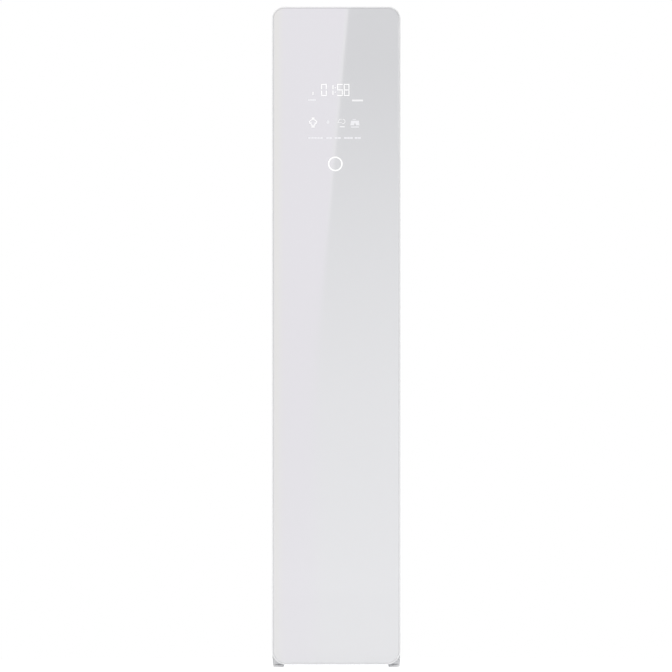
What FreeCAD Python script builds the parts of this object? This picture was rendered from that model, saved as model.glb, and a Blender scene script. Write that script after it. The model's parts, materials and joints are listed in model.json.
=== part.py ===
import FreeCAD, Part
import math
import os
import re

import Sketcher
from FreeCAD import Placement, Rotation, Vector

# A narrow steam closet for clothes. Millimetres, +Z up, the front faces -Y, and the origin is on
# the floor under the middle of the closet. Left and right are as seen from the front.

SIZES = {
    # outside
    "overall_height": 1850,
    "overall_depth": 580,
    "door_width": 360,
    "cabinet_width": 357,
    "door_floor_gap": 8,
    "door_thickness": 46,
    "door_gap": 5,
    "door_overhang": 1.5,
    "door_top_radius": 34,
    "door_bottom_radius": 39,
    "casing_radius": 34,
    "base_height": 8.7,
    "spacer_depth": 5,
    # sheet and shell walls, and the gap left between pieces that are fixed together
    "sheet_thick": 1.2,
    "liner_wall": 3,
    "frame_depth": 18,
    "fit_gap": 0.3,
    "run_gap": 0.05,
    # cabin
    "cabin_width": 300,
    "rear_wall": 70,
    "bay_depth": 129,
    "bay_height": 130,
    "deck_height": 420,
    "ceiling_depth": 103.5,
    "floor_thick": 12,
    "shelf_height": 560,
    "ledge_size": 8,
    # door
    "frame_lip": 3.6,
    "glass_thick": 4,
    "glass_recess": 0.3,
    "glass_bevel": 2.8,
    "glass_bevel_depth": 1.2,
    "door_liner_thick": 6,
    "end_cap_height": 52,
    "grip_height": 250,
    "grip_middle": 1025,
    "grip_depth": 19.6,
    "grip_opening": 31.4,
    "grip_wall": 2,
    "gasket_width": 12,
    "gasket_lap": 10,
    # hinges
    "hinge_edge": 14,
    "hinge_back": 22,
    "hinge_pin_radius": 4,
    "hinge_bush_radius": 8,
    "hinge_bush_length": 20,
    "bracket_thick": 3,
    "bracket_half_width": 8,
    "bracket_slot": 8,
    "upper_slot_drop": 28,
    "lower_slot_rise": 22,
    "bracket_flange": 44,
    # display
    "board_width": 176,
    "board_height": 262,
    "board_drop": 336,
    "board_thick": 1.6,
    "ink_thick": 0.2,
    "digit_drop": 233,
    "digit_height": 33.6,
    "digit_width": 15.7,
    "digit_pitch": 18.7,
    "clock_x": -2.6,
    "pair_offset": 22.4,
    "digit_stroke": 2.6,
    "ring_drop": 440,
    "ring_radius": 20.6,
    "ring_stroke": 4,
    # shaking rail
    "rail_drop": 55,
    "rail_length": 230,
    "rail_radius": 11,
    "rail_groove": 1,
    "hanger_spacing": 90,
    "guide_radius": 5,
    "guide_spacing": 80,
    "guide_rise": 45,
    "arm_spacing": 160,
    "arm_radius": 5,
    "rail_stroke": 9.19,
    "crank_throw": 12,
    "crank_pin_radius": 4,
    "crank_slack": 0.7,
    "carriage_thick": 16,
    # hangers
    "hook_wire_radius": 2.5,
    "shoulder_width": 400,
    "shoulder_drop": 62,
    "hanger_thick": 14,
    "hanger_neck": 14,
    "hanger_slope": 62,
    "hanger_end_height": 22,
    "hanger_end_width": 12,
    "hanger_arch": 26,
    # feet
    "foot_radius": 16,
    "foot_round": 6,
    "foot_inset": 35,
    "stud_radius": 4,
    "stud_length": 28,
    "foot_nut_wall": 6,
    "foot_nut_height": 14,
    "pan_lip": 20,
    # tanks
    "tank_gap": 4,
    "tank_side_gap": 10.5,
    "tank_depth": 102,
    "tank_height": 268,
    "tank_wall": 2.5,
    "lid_thick": 4,
    "handle_rise": 16,
    "valve_radius": 9,
    "valve_rise": 9,
    # cabin floor fittings
    "filter_width": 150,
    "filter_depth": 60,
    "filter_left": -120,
    "aroma_width": 46,
    "aroma_left": 46,
    "fitting_margin": 14,
    "rest_ledge": 6,
    "filter_frame_width": 7,
    "grille_width": 210,
    "grille_depth": 60,
    "grille_back": 18,
    "nozzle_right": 25,
    "nozzle_back": 155,
    "nozzle_radius": 8,
    "nozzle_spigot": 24,
    # machine room
    "duct_height": 166,
    "duct_right": 100,
    "duct_left": -140,
    "duct_wall": 2.5,
    "fan_radius": 44,
    "scroll_radius": 56,
    "fan_width": 110,
    "shaft_radius": 4,
    "coil_gap": 8,
    "coil_margin": 16,
    "coil_overhang": 8,
    "coil_spread": 0.46,
    "fan_gap": 27.2,
    "fin_pitch": 8,
    "fin_thick": 1.2,
    "compressor_radius": 58,
    "compressor_height": 190,
    "suction_radius": 17,
    "suction_gap": 15,
    "suction_rise": 40,
    "suction_height": 100,
    "grommet_height": 24,
    "boiler_radius": 42,
    "boiler_height": 130,
    "boiler_x": 118,
    "pump_radius": 21,
    "pump_height": 56,
    "hose_radius": 6,
    "pipe_radius": 4,
    # vents, gland and shelf
    "vent_pitch": 14,
    "vent_height": 4,
    "gland_radius": 10,
    "gland_x": 140,
    "gland_z": 60,
    "liner_corner": 20,
    "nozzle_bore": 3,
    "shelf_depth": 300,
    "shelf_wire": 3,
    "motor_radius": 28,
    "shoulder_round": 8,
    "tank_round": 12,
    "handle_length": 96,
    "handle_round": 6,
    "scroll_left": -92,
    "scroll_right": 36,
    "warm_pipe_x": -70,
    "cold_pipe_x": 20,
    "supply_pump_x": -110,
    "drain_pump_x": -40,
    # control box
    "control_width": 104,
    "control_depth": 118,
    "control_height": 150,
    "control_wall": 2,
    "control_side_gap": 6,
    "control_rear_gap": 12,
    "control_board_height": 118,
    "control_part_width": 19,
}
COIL_ROWS = 6
FINS = 24
FAN_BLADES = 24
SIDE_VENTS = 9
PLINTH_VENTS = 9
BACK_VENTS = 16
PANEL_SCREWS = 5
GRILLE_SLOTS = 16
SHELF_WIRES = 15
BOARD_PARTS = 4

# Places worked out from the sizes, in the order in which they build on one another.
PLACES = {
    "door_front_y": "-overall_depth / 2",
    "door_rear_y": "door_front_y + door_thickness",
    "face_y": "door_rear_y + door_gap",
    "rear_y": "overall_depth / 2 - spacer_depth",
    "panel_y": "rear_y - sheet_thick",
    "frame_rear_y": "face_y + frame_depth",
    "door_side": "door_width / 2",
    "door_low_z": "door_floor_gap",
    "side_x": "cabinet_width / 2",
    "skin_x": "side_x - sheet_thick",
    "inner_x": "skin_x - fit_gap",
    "top_z": "overall_height - door_overhang",
    "skin_top_z": "top_z - sheet_thick",
    "inner_top_z": "skin_top_z - fit_gap",
    "low_z": "base_height + fit_gap",
    "pan_z": "low_z + sheet_thick",
    "cabin_x": "cabin_width / 2",
    "cabin_rear_y": "rear_y - rear_wall",
    "cabin_top_z": "top_z - ceiling_depth",
    "bay_rear_y": "face_y + bay_depth",
    "deck_z": "deck_height",
    "shelf_rear_y": "cabin_rear_y - 8",
    "shelf_front_y": "shelf_rear_y - shelf_depth",
    "floor_z": "deck_height + floor_thick",
    "roof_z": "cabin_top_z + liner_wall",
    "liner_x": "cabin_x + liner_wall",
    "hinge_x": "door_side - hinge_edge",
    "hinge_y": "door_rear_y - hinge_back",
    "upper_slot_z": "overall_height - upper_slot_drop",
    "lower_slot_z": "door_low_z + lower_slot_rise",
    "upper_flange_z": "upper_slot_z + bracket_thick / 2 - bracket_flange / 2",
    "lower_flange_z": "lower_slot_z - bracket_thick / 2 + bracket_flange / 2",
    "board_middle": "overall_height - board_drop",
    "digit_middle": "overall_height - digit_drop",
    "ring_middle": "overall_height - ring_drop",
    "glass_front_y": "door_front_y + glass_recess",
    "glass_rear_y": "glass_front_y + glass_thick",
    "lip_x": "door_side - frame_lip",
    "tray_y": "door_rear_y - door_liner_thick",
    "grip_y": "(glass_rear_y + tray_y) / 2",
    "rail_y": "(face_y + cabin_rear_y) / 2",
    "rail_z": "cabin_top_z - rail_drop",
    "guide_z": "cabin_top_z + guide_rise",
    "plate_z": "roof_z + 3",
    "carriage_low_z": "guide_z - carriage_thick / 2",
    "carriage_top_z": "guide_z + carriage_thick / 2",
    "bridge_z": "carriage_top_z + 9",
    "foot_x": "side_x - foot_radius - fit_gap",
    "foot_front_y": "face_y + foot_inset",
    "foot_rear_y": "rear_y - foot_inset",
    "tank_front_y": "bay_rear_y - tank_gap - tank_depth",
    "tank_rear_y": "bay_rear_y - tank_gap",
    "tank_low_z": "bay_height + fit_gap",
    "tank_top_z": "tank_low_z + tank_height",
    "valve_x": "cabin_x / 2",
    "valve_y": "tank_rear_y - 28",
    "filter_front_y": "bay_rear_y + fitting_margin",
    "filter_rear_y": "filter_front_y + filter_depth",
    "grille_rear_y": "cabin_rear_y - grille_back",
    "grille_front_y": "grille_rear_y - grille_depth",
    "grille_left": "(duct_left + duct_right) / 2 - grille_width / 2",
    "grille_right": "grille_left + grille_width",
    "nozzle_x": "cabin_x - nozzle_right",
    "nozzle_y": "cabin_rear_y - nozzle_back",
    "nozzle_low_z": "deck_z - nozzle_spigot",
    "duct_top_z": "deck_z - liner_wall - fit_gap",
    "duct_low_z": "duct_top_z - duct_height",
    "duct_front_y": "bay_rear_y + liner_wall + 7",
    "duct_rear_y": "cabin_rear_y - 7",
    "fan_y": "duct_rear_y - duct_wall - scroll_radius - fit_gap",
    "fan_z": "duct_low_z + duct_wall + scroll_radius + 18",
    "fan_x": "(scroll_left + scroll_right) / 2",
    "coil_left": "duct_left + duct_wall + 18",
    "coil_right": "duct_right - duct_wall - 18",
    "evaporator_y": "filter_rear_y + 6",
    "coil_depth": "(fan_y - scroll_radius - evaporator_y - coil_gap - fan_gap) / 2",
    "condenser_y": "evaporator_y + coil_depth + coil_gap",
    "compressor_x": "-inner_x + compressor_radius + 24",
    "compressor_y": "panel_y - compressor_radius - 55",
    "compressor_z": "pan_z + grommet_height",
    "suction_x": "compressor_x + compressor_radius + suction_gap",
    "suction_top_z": "compressor_z + suction_rise + suction_height",
    "boiler_y": "bay_rear_y + boiler_radius + 54",
    "boiler_top_z": "pan_z + 30 + boiler_height",
    "pump_y": "bay_rear_y + 48",
    "control_right": "inner_x - control_side_gap",
    "control_left": "control_right - control_width",
    "control_rear_y": "panel_y - control_rear_gap",
    "control_front_y": "control_rear_y - control_depth",
}

doc = FreeCAD.newDocument("SteamCloset")
sheet = doc.addObject("Spreadsheet::Sheet", "Sizes")
for row, (name, number) in enumerate(SIZES.items(), start=1):
    sheet.set(f"A{row}", name)
    sheet.set(f"B{row}", str(number))
    sheet.setAlias(f"B{row}", name)
doc.recompute()

places = doc.addObject("App::VarSet", "Places")
OWNER = {name: "Sizes." for name in SIZES}


def expression(text):
    """Write the object that holds it in front of each named value of an expression."""
    return re.sub(r"[a-z][a-z0-9_]*", lambda word: OWNER.get(word[0], "") + word[0], str(text))


for name, text in PLACES.items():
    places.addProperty("App::PropertyFloat", name, "Places", "")
    places.setExpression(name, expression(text))
    OWNER[name] = "Places."
doc.recompute()

AXES = {"x": Vector(1, 0, 0), "y": Vector(0, 1, 0), "z": Vector(0, 0, 1)}
PLANES = {"XY": "z", "XZ": "y", "YZ": "x"}
subparts = []


def value(name):
    """Read a named size or place as a number."""
    return float(places.getPropertyByName(name)) if name in PLACES else float(sheet.get(name))


def bind(thing, prop, text):
    """Tie a property to an expression of named values."""
    thing.setExpression(prop, expression(text))


def subpart(thing, label=None):
    """Mark a finished object as a sub-part of the closet, under its own label."""
    if label:
        thing.Label = label
    subparts.append(thing)
    return thing


def box(label, x, y, z):
    """A block between three pairs of planes, each pair given as (low, high)."""
    block = doc.addObject("Part::Box", label)
    for side, axis, (low, high) in zip(("Length", "Width", "Height"), "xyz", (x, y, z)):
        bind(block, "Placement.Base." + axis, low)
        bind(block, side, f"({high}) - ({low})")
    return block


def rod(label, axis, at, span, radius):
    """A round bar along one axis, at a place on the other two, between the two ends of span."""
    bar = doc.addObject("Part::Cylinder", label)
    bar.Placement = Placement(Vector(), Rotation(AXES["z"], AXES[axis]))
    others = [name for name in "xyz" if name != axis]
    bind(bar, "Placement.Base." + axis, span[0])
    for name, text in zip(others, at):
        bind(bar, "Placement.Base." + name, text)
    bind(bar, "Height", f"({span[1]}) - ({span[0]})")
    bind(bar, "Radius", radius)
    return bar


def fuse(label, *pieces):
    """Join pieces into one."""
    joined = doc.addObject("Part::MultiFuse", label)
    joined.Shapes = list(pieces)
    return joined


def cut(label, base, *tools):
    """Take one or more pieces away from a base."""
    result = doc.addObject("Part::Cut", label)
    result.Base = base
    result.Tool = tools[0] if len(tools) == 1 else fuse(label + "_tools", *tools)
    return result


def group(label, *pieces):
    """Keep separate solids together as one sub-part."""
    together = doc.addObject("Part::Compound", label)
    together.Links = list(pieces)
    return together


def draw(body, label, plane, corners, offset):
    """Sketch a closed outline on a plane of the body, each corner tied to its values."""
    sketch = body.newObject("Sketcher::SketchObject", label)
    origin_plane = [f for f in body.Origin.OriginFeatures if f.Role == plane + "_Plane"][0]
    sketch.AttachmentSupport = [(origin_plane, "")]
    sketch.MapMode = "FlatFace"
    bind(sketch, "AttachmentOffset.Base.z", f"-({offset})" if plane == "XZ" else offset)
    numbers = []
    for u_text, v_text in corners:
        numbers.append(Vector(measure(u_text), measure(v_text), 0))
    count = len(corners)
    for i in range(count):
        sketch.addGeometry(Part.LineSegment(numbers[i], numbers[(i + 1) % count]), False)
    for i in range(count):
        sketch.addConstraint(Sketcher.Constraint("Coincident", i, 2, (i + 1) % count, 1))
    for i, (u_text, v_text) in enumerate(corners):
        for kind, text, number in (
            ("DistanceX", u_text, numbers[i].x),
            ("DistanceY", v_text, numbers[i].y),
        ):
            index = sketch.addConstraint(Sketcher.Constraint(kind, -1, 1, i, 1, number))
            bind(sketch, f"Constraints[{index}]", text)
    return sketch


gauge = doc.addObject("App::VarSet", "Gauge")
gauge.addProperty("App::PropertyFloat", "reading", "Gauge", "")


def measure(text):
    """Work an expression out to a number."""
    bind(gauge, "reading", text)
    gauge.recompute()
    return gauge.reading


def pad(label, plane, corners, span, rounding=()):
    """A body padded from an outline over a span, with some of its long edges rounded."""
    body = doc.addObject("PartDesign::Body", label)
    low, high = span
    sketch = draw(body, label + "_outline", plane, corners, high if plane == "XZ" else low)
    feature = body.newObject("PartDesign::Pad", label + "_pad")
    feature.Profile = sketch
    bind(feature, "Length", f"({high}) - ({low})")
    sketch.Visibility = False
    doc.recompute()
    along = AXES[PLANES[plane]]
    others = [AXES[name] for name in "xyz" if name != PLANES[plane]]
    for number, (radius, chosen) in enumerate(rounding):
        wanted = [(measure(corners[i][0]), measure(corners[i][1])) for i in chosen]
        edges = []
        for index, edge in enumerate(feature.Shape.Edges, start=1):
            start, end = edge.Vertexes[0].Point, edge.Vertexes[-1].Point
            if (end - start).cross(along).Length > 0.001:
                continue
            here = (start.dot(others[0]), start.dot(others[1]))
            if any(math.dist(here, corner) < 0.001 for corner in wanted):
                edges.append(f"Edge{index}")
        fillet = body.newObject("PartDesign::Fillet", f"{label}_round{number}")
        fillet.Base = (feature, edges)
        bind(fillet, "Radius", radius)
        doc.recompute()
        feature = fillet
    return body


def turned(label, corners, at=("0", "0", "0"), axis="z"):
    """A body turned about its axis from an outline of (radius, height) corners."""
    body = doc.addObject("PartDesign::Body", label)
    sketch = draw(body, label + "_outline", "XZ", corners, "0")
    feature = body.newObject("PartDesign::Revolution", label + "_turn")
    feature.Profile = sketch
    feature.ReferenceAxis = (sketch, ["V_Axis"])
    feature.Angle = 360
    sketch.Visibility = False
    body.Placement = Placement(Vector(), Rotation(AXES["z"], AXES[axis]))
    for name, text in zip("xyz", at):
        bind(body, "Placement.Base." + name, text)
    return body


def rectangle(left, right, low, high):
    """The four corners of an outline."""
    return [(left, low), (right, low), (right, high), (left, high)]


def mirrored(text):
    """The same distance on the other side of the middle."""
    return f"-({text})"


def tube(label, points, radius, bend):
    """A pipe along straight runs joined by tangent arcs."""
    corners = [Vector(*point) for point in points]
    edges = []
    start = corners[0]
    for before, corner, after in zip(corners, corners[1:], corners[2:]):
        coming = (corner - before).normalize()
        going = (after - corner).normalize()
        turn = coming.getAngle(going)
        reach = bend * math.tan(turn / 2)
        first = corner - coming * reach
        last = corner + going * reach
        inward = (going - coming).normalize()
        middle = corner + inward * (bend / math.cos(turn / 2) - bend)
        edges.append(Part.LineSegment(start, first).toShape())
        edges.append(Part.Arc(first, middle, last).toShape())
        start = last
    edges.append(Part.LineSegment(start, corners[-1]).toShape())
    path = Part.Wire(edges)
    circle = Part.Circle(corners[0], corners[1] - corners[0], radius)
    pipe = doc.addObject("Part::Feature", label)
    pipe.Shape = path.makePipeShell([Part.Wire(circle.toShape())], True, False)
    return pipe


def cabinet_shell():
    """The painted casing, its front ring, back, base pan, spacers and feet."""
    outer = pad(
        "casing_outer",
        "XZ",
        rectangle("-side_x", "side_x", "base_height", "top_z"),
        ("face_y", "rear_y"),
        [("casing_radius", (2, 3))],
    )
    hollow = pad(
        "casing_hollow",
        "XZ",
        rectangle("-skin_x", "skin_x", "base_height - 1", "skin_top_z"),
        ("face_y - 1", "rear_y + 1"),
        [("casing_radius - sheet_thick", (2, 3))],
    )
    slots = []
    for i in range(SIDE_VENTS):
        z = f"pan_z + 60 + {i} * vent_pitch"
        slots.append(
            box(
                f"side_vent_{i}",
                ("-side_x - 1", "side_x + 1"),
                ("panel_y - 110", "panel_y - 40"),
                (z, f"{z} + vent_height"),
            ),
        )
    subpart(cut("casing", outer, hollow, *slots))

    ring = pad(
        "front_ring",
        "XZ",
        rectangle("-inner_x", "inner_x", "low_z", "inner_top_z"),
        ("face_y", "frame_rear_y"),
        [("casing_radius - sheet_thick - fit_gap", (2, 3))],
    )
    opening = pad(
        "front_opening",
        "XZ",
        rectangle("-cabin_x", "cabin_x", "bay_height", "cabin_top_z"),
        ("face_y - 1", "frame_rear_y + 1"),
    )
    cuts = [opening]
    for i in range(PLINTH_VENTS):
        x = f"({i} - {(PLINTH_VENTS - 1) / 2}) * vent_pitch * 2"
        cuts.append(
            box(
                f"plinth_vent_{i}",
                (f"{x} - vent_height", f"{x} + vent_height"),
                ("face_y - 1", "frame_rear_y + 1"),
                ("pan_z + 28", "pan_z + 82"),
            ),
        )
    for end, slot_z in (("upper", "upper_flange_z"), ("lower", "lower_flange_z")):
        cuts.append(
            box(
                end + "_bracket_seat",
                (
                    "hinge_x - bracket_half_width - fit_gap",
                    "hinge_x + bracket_half_width + fit_gap",
                ),
                ("face_y - 1", "face_y + bracket_thick"),
                (
                    f"{slot_z} - bracket_flange / 2 - fit_gap",
                    f"{slot_z} + bracket_flange / 2 + fit_gap",
                ),
            )
        )
    subpart(cut("front_frame", ring, *cuts))

    back = pad(
        "back_plate",
        "XZ",
        rectangle("-inner_x", "inner_x", "low_z", "inner_top_z"),
        ("panel_y", "rear_y"),
        [("casing_radius - sheet_thick - fit_gap", (2, 3))],
    )
    louvres = []
    for i in range(BACK_VENTS):
        z = f"pan_z + 70 + {i} * vent_pitch"
        for side in (-1, 1):
            x = f"{side} * 80"
            louvres.append(
                box(
                    f"louvre_{i}_{(side + 1) // 2}",
                    (f"{x} - 55", f"{x} + 55"),
                    ("panel_y - 1", "rear_y + 1"),
                    (z, f"{z} + vent_height"),
                ),
            )
    gland_hole = rod(
        "gland_hole",
        "y",
        ("gland_x", "gland_z"),
        ("panel_y - 1", "rear_y + 1"),
        "gland_radius + run_gap",
    )
    subpart(cut("back_panel", back, gland_hole, *louvres))
    gland = fuse(
        "gland_solid",
        rod(
            "gland_neck",
            "y",
            ("gland_x", "gland_z"),
            ("panel_y - 8", "rear_y + spacer_depth - fit_gap"),
            "gland_radius",
        ),
        rod(
            "gland_nut",
            "y",
            ("gland_x", "gland_z"),
            ("panel_y - 8", "panel_y - fit_gap"),
            "gland_radius + 5",
        ),
    )
    bore = rod(
        "gland_bore",
        "y",
        ("gland_x", "gland_z"),
        ("panel_y - 9", "rear_y + spacer_depth"),
        "gland_radius - 5",
    )
    subpart(cut("mains_gland", gland, bore))

    spacers = []
    screws = []
    for side in (-1, 1):
        for level, z in (("low", "deck_z"), ("high", "cabin_top_z")):
            spacers.append(
                rod(
                    f"spacer_{level}_{side + 1}",
                    "y",
                    (f"{side} * (inner_x - 40)", z),
                    ("rear_y", "rear_y + spacer_depth"),
                    "14",
                ),
            )
        for i in range(PANEL_SCREWS):
            z = f"low_z + 18 + {i} * (inner_top_z - low_z - 60) / {PANEL_SCREWS - 1}"
            screws.append(
                rod(
                    f"panel_screw_{side + 1}_{i}",
                    "y",
                    (f"{side} * (inner_x - 10)", z),
                    ("rear_y", "rear_y + 2"),
                    "4.5",
                ),
            )
    subpart(group("wall_spacers", *spacers))
    subpart(group("panel_screws", *screws))

    pan = box(
        "pan_block",
        ("-inner_x", "inner_x"),
        ("frame_rear_y", "panel_y - fit_gap"),
        ("low_z", "pan_z + pan_lip"),
    )
    well = box(
        "pan_well",
        ("-inner_x + sheet_thick", "inner_x - sheet_thick"),
        ("frame_rear_y + sheet_thick", "panel_y - fit_gap - sheet_thick"),
        ("pan_z", "pan_z + pan_lip + 1"),
    )
    nuts = []
    holes = []
    for side in (-1, 1):
        x = f"{side} * foot_x"
        nuts.append(
            rod(
                f"foot_nut_{side + 1}",
                "z",
                (x, "foot_front_y"),
                ("low_z", "pan_z + foot_nut_height"),
                "stud_radius + foot_nut_wall",
            ),
        )
        holes.append(
            rod(
                f"foot_thread_{side + 1}",
                "z",
                (x, "foot_front_y"),
                ("low_z - 1", "pan_z + foot_nut_height + 1"),
                "stud_radius + run_gap",
            ),
        )
    subpart(cut("base_pan", fuse("pan_and_nuts", cut("pan_shell", pan, well), *nuts), *holes))

    foot_outline = [
        ("0", "0"),
        ("foot_radius - foot_round", "0"),
        ("foot_radius - foot_round * 0.3", "foot_round * 0.3"),
        ("foot_radius", "foot_round"),
        ("foot_radius", "base_height - fit_gap"),
        ("stud_radius", "base_height - fit_gap"),
        ("stud_radius", "base_height + stud_length"),
        ("0", "base_height + stud_length"),
    ]
    for side, name in ((-1, "left"), (1, "right")):
        subpart(
            turned(f"front_foot_{name}", foot_outline, (f"{side} * foot_x", "foot_front_y", "0")),
        )
    pads = []
    for side in (-1, 1):
        pads.append(
            rod(
                f"rear_pad_{side + 1}",
                "z",
                (f"{side} * foot_x", "foot_rear_y"),
                ("0", "base_height"),
                "foot_radius",
            ),
        )
    subpart(group("rear_feet", *pads))


def cabin():
    """The liner with its tank bay, the floor and its fittings, the insulation and the lamp."""
    outer = pad(
        "liner_outer",
        "YZ",
        [
            ("frame_rear_y", "bay_height - liner_wall"),
            ("bay_rear_y + liner_wall", "bay_height - liner_wall"),
            ("bay_rear_y + liner_wall", "deck_z - liner_wall"),
            ("cabin_rear_y + liner_wall", "deck_z - liner_wall"),
            ("cabin_rear_y + liner_wall", "roof_z"),
            ("frame_rear_y", "roof_z"),
        ],
        ("-liner_x", "liner_x"),
    )
    inner = pad(
        "liner_inner",
        "YZ",
        [
            ("frame_rear_y - 1", "bay_height"),
            ("bay_rear_y", "bay_height"),
            ("bay_rear_y", "deck_z"),
            ("cabin_rear_y", "deck_z"),
            ("cabin_rear_y", "cabin_top_z"),
            ("frame_rear_y - 1", "cabin_top_z"),
        ],
        ("-cabin_x", "cabin_x"),
        [("liner_corner", (4,))],
    )
    ledges = []
    for side in (-1, 1):
        for place, y in (("front", "shelf_front_y + 30"), ("rear", "shelf_rear_y - 30")):
            wall, tip = (
                "-cabin_x - 1",
                "-cabin_x + ledge_size",
            ) if side < 0 else ("cabin_x - ledge_size", "cabin_x + 1")
            ledges.append(
                box(
                    f"ledge_{place}_{side + 1}",
                    (wall, tip),
                    (f"{y} - 12", f"{y} + 12"),
                    ("shelf_height - ledge_size", "shelf_height"),
                ),
            )
    holes = []
    for side in (-1, 1):
        x = f"{side} * arm_spacing / 2"
        reach = "(rail_stroke + arm_radius + 2)"
        holes.append(
            box(
                f"arm_slot_{side + 1}",
                (f"{x} - {reach}", f"{x} + {reach}"),
                ("rail_y - arm_radius - 2", "rail_y + arm_radius + 2"),
                ("cabin_top_z - 1", "roof_z + 1"),
            ),
        )
        holes.append(
            rod(
                f"valve_hole_{side + 1}",
                "z",
                (f"{side} * valve_x", "valve_y"),
                ("bay_height - liner_wall - 1", "bay_height + 1"),
                "valve_radius + run_gap",
            ),
        )
    under = ("deck_z - liner_wall - 1", "deck_z + 1")
    holes.append(
        box(
            "filter_way",
            ("filter_left + rest_ledge", "filter_left + filter_width - rest_ledge"),
            ("filter_front_y + rest_ledge", "filter_rear_y - rest_ledge"),
            under,
        ),
    )
    holes.append(
        box(
            "grille_way",
            ("grille_left + rest_ledge", "grille_right - rest_ledge"),
            ("grille_front_y + rest_ledge", "grille_rear_y - rest_ledge"),
            under,
        ),
    )
    holes.append(rod("nozzle_way", "z", ("nozzle_x", "nozzle_y"), under, "nozzle_radius + run_gap"))
    subpart(
        cut(
            "cabin_liner",
            fuse("liner_and_ledges", cut("liner_shell", outer, inner), *ledges),
            *holes,
        ),
    )

    slab = box(
        "floor_slab",
        ("-cabin_x + fit_gap", "cabin_x - fit_gap"),
        ("bay_rear_y", "cabin_rear_y - fit_gap"),
        ("deck_z", "floor_z"),
    )
    through = ("deck_z - 1", "floor_z + 1")
    pockets = [
        box(
            "filter_pocket",
            ("filter_left", "filter_left + filter_width"),
            ("filter_front_y", "filter_rear_y"),
            through,
        ),
        box(
            "aroma_pocket",
            ("aroma_left", "aroma_left + aroma_width"),
            ("filter_front_y", "filter_rear_y"),
            through,
        ),
        box(
            "grille_pocket",
            ("grille_left", "grille_right"),
            ("grille_front_y", "grille_rear_y"),
            through,
        ),
        rod("nozzle_pocket", "z", ("nozzle_x", "nozzle_y"), through, "nozzle_radius + run_gap"),
    ]
    subpart(cut("cabin_floor", slab, *pockets))

    inside = ("frame_rear_y", "panel_y - fit_gap")
    height = ("deck_z + 10", "skin_top_z - 40")
    left = box("insulation_left", ("-inner_x", "-liner_x - fit_gap"), inside, height)
    right = box("insulation_right", ("liner_x + fit_gap", "inner_x"), inside, height)
    rear = box(
        "insulation_rear",
        ("-liner_x", "liner_x"),
        ("cabin_rear_y + liner_wall + fit_gap", "panel_y - fit_gap"),
        height,
    )
    subpart(group("insulation", left, right, rear))

    subpart(
        box(
            "cabin_lamp",
            ("-70", "70"),
            ("frame_rear_y + 20", "frame_rear_y + 38"),
            ("cabin_top_z - 5", "cabin_top_z"),
        ),
    )

    grille = box(
        "grille_block",
        ("grille_left + fit_gap", "grille_right - fit_gap"),
        ("grille_front_y + fit_gap", "grille_rear_y - fit_gap"),
        ("deck_z", "floor_z + 3"),
    )
    slats = []
    for i in range(GRILLE_SLOTS):
        pitch = f"(grille_width - 20) / {GRILLE_SLOTS}"
        x = f"grille_left + 10 + ({i} + 0.5) * {pitch}"
        slats.append(
            box(
                f"grille_slot_{i}",
                (f"{x} - {pitch} * 0.32", f"{x} + {pitch} * 0.32"),
                ("grille_front_y + 8", "grille_rear_y - 8"),
                ("deck_z - 1", "floor_z + 4"),
            ),
        )
    subpart(cut("outlet_grille", grille, *slats))

    subpart(
        turned(
            "steam_nozzle",
            [
                ("nozzle_bore", "nozzle_low_z"),
                ("nozzle_radius", "nozzle_low_z"),
                ("nozzle_radius", "floor_z"),
                ("nozzle_radius + 13", "floor_z"),
                ("nozzle_radius + 13", "floor_z + 3"),
                ("nozzle_radius + 4", "floor_z + 10"),
                ("nozzle_bore", "floor_z + 12"),
            ],
            ("nozzle_x", "nozzle_y", "0"),
        )
    )

    frame = box(
        "filter_block",
        ("filter_left + fit_gap", "filter_left + filter_width - fit_gap"),
        ("filter_front_y + fit_gap", "filter_rear_y - fit_gap"),
        ("deck_z + fit_gap", "floor_z + 2"),
    )
    rim = "filter_frame_width + fit_gap"
    window = box(
        "filter_window",
        (f"filter_left + {rim}", f"filter_left + filter_width - ({rim})"),
        (f"filter_front_y + {rim}", f"filter_rear_y - ({rim})"),
        ("deck_z - 1", "floor_z + 3"),
    )
    bar = box(
        "filter_bar",
        ("filter_left + filter_width / 2 - 6", "filter_left + filter_width / 2 + 6"),
        ("filter_front_y + 4", "filter_rear_y - 4"),
        ("deck_z + 6", "floor_z + 12"),
    )
    subpart(fuse("filter_frame", cut("filter_rim", frame, window), bar))
    halves = []
    for side, (near, far) in (
        ("left", (f"filter_left + {rim}", "filter_left + filter_width / 2 - 6")),
        ("right", ("filter_left + filter_width / 2 + 6", f"filter_left + filter_width - ({rim})")),
    ):
        halves.append(
            box(
                "filter_mesh_" + side,
                (near, far),
                (f"filter_front_y + {rim}", f"filter_rear_y - ({rim})"),
                ("deck_z + 4", "deck_z + 5.5"),
            ),
        )
    subpart(group("filter_mesh", *halves))

    case = box(
        "aroma_case",
        ("aroma_left + fit_gap", "aroma_left + aroma_width - fit_gap"),
        ("filter_front_y + fit_gap", "filter_rear_y - fit_gap"),
        ("deck_z + fit_gap", "floor_z + 6"),
    )
    vents = []
    for i in range(4):
        y = f"filter_front_y + 12 + {i} * 10"
        vents.append(
            box(
                f"aroma_vent_{i}",
                ("aroma_left + 8", "aroma_left + aroma_width - 8"),
                (y, f"{y} + 4"),
                ("floor_z", "floor_z + 7"),
            ),
        )
    subpart(cut("aroma_cartridge", case, *vents))

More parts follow.
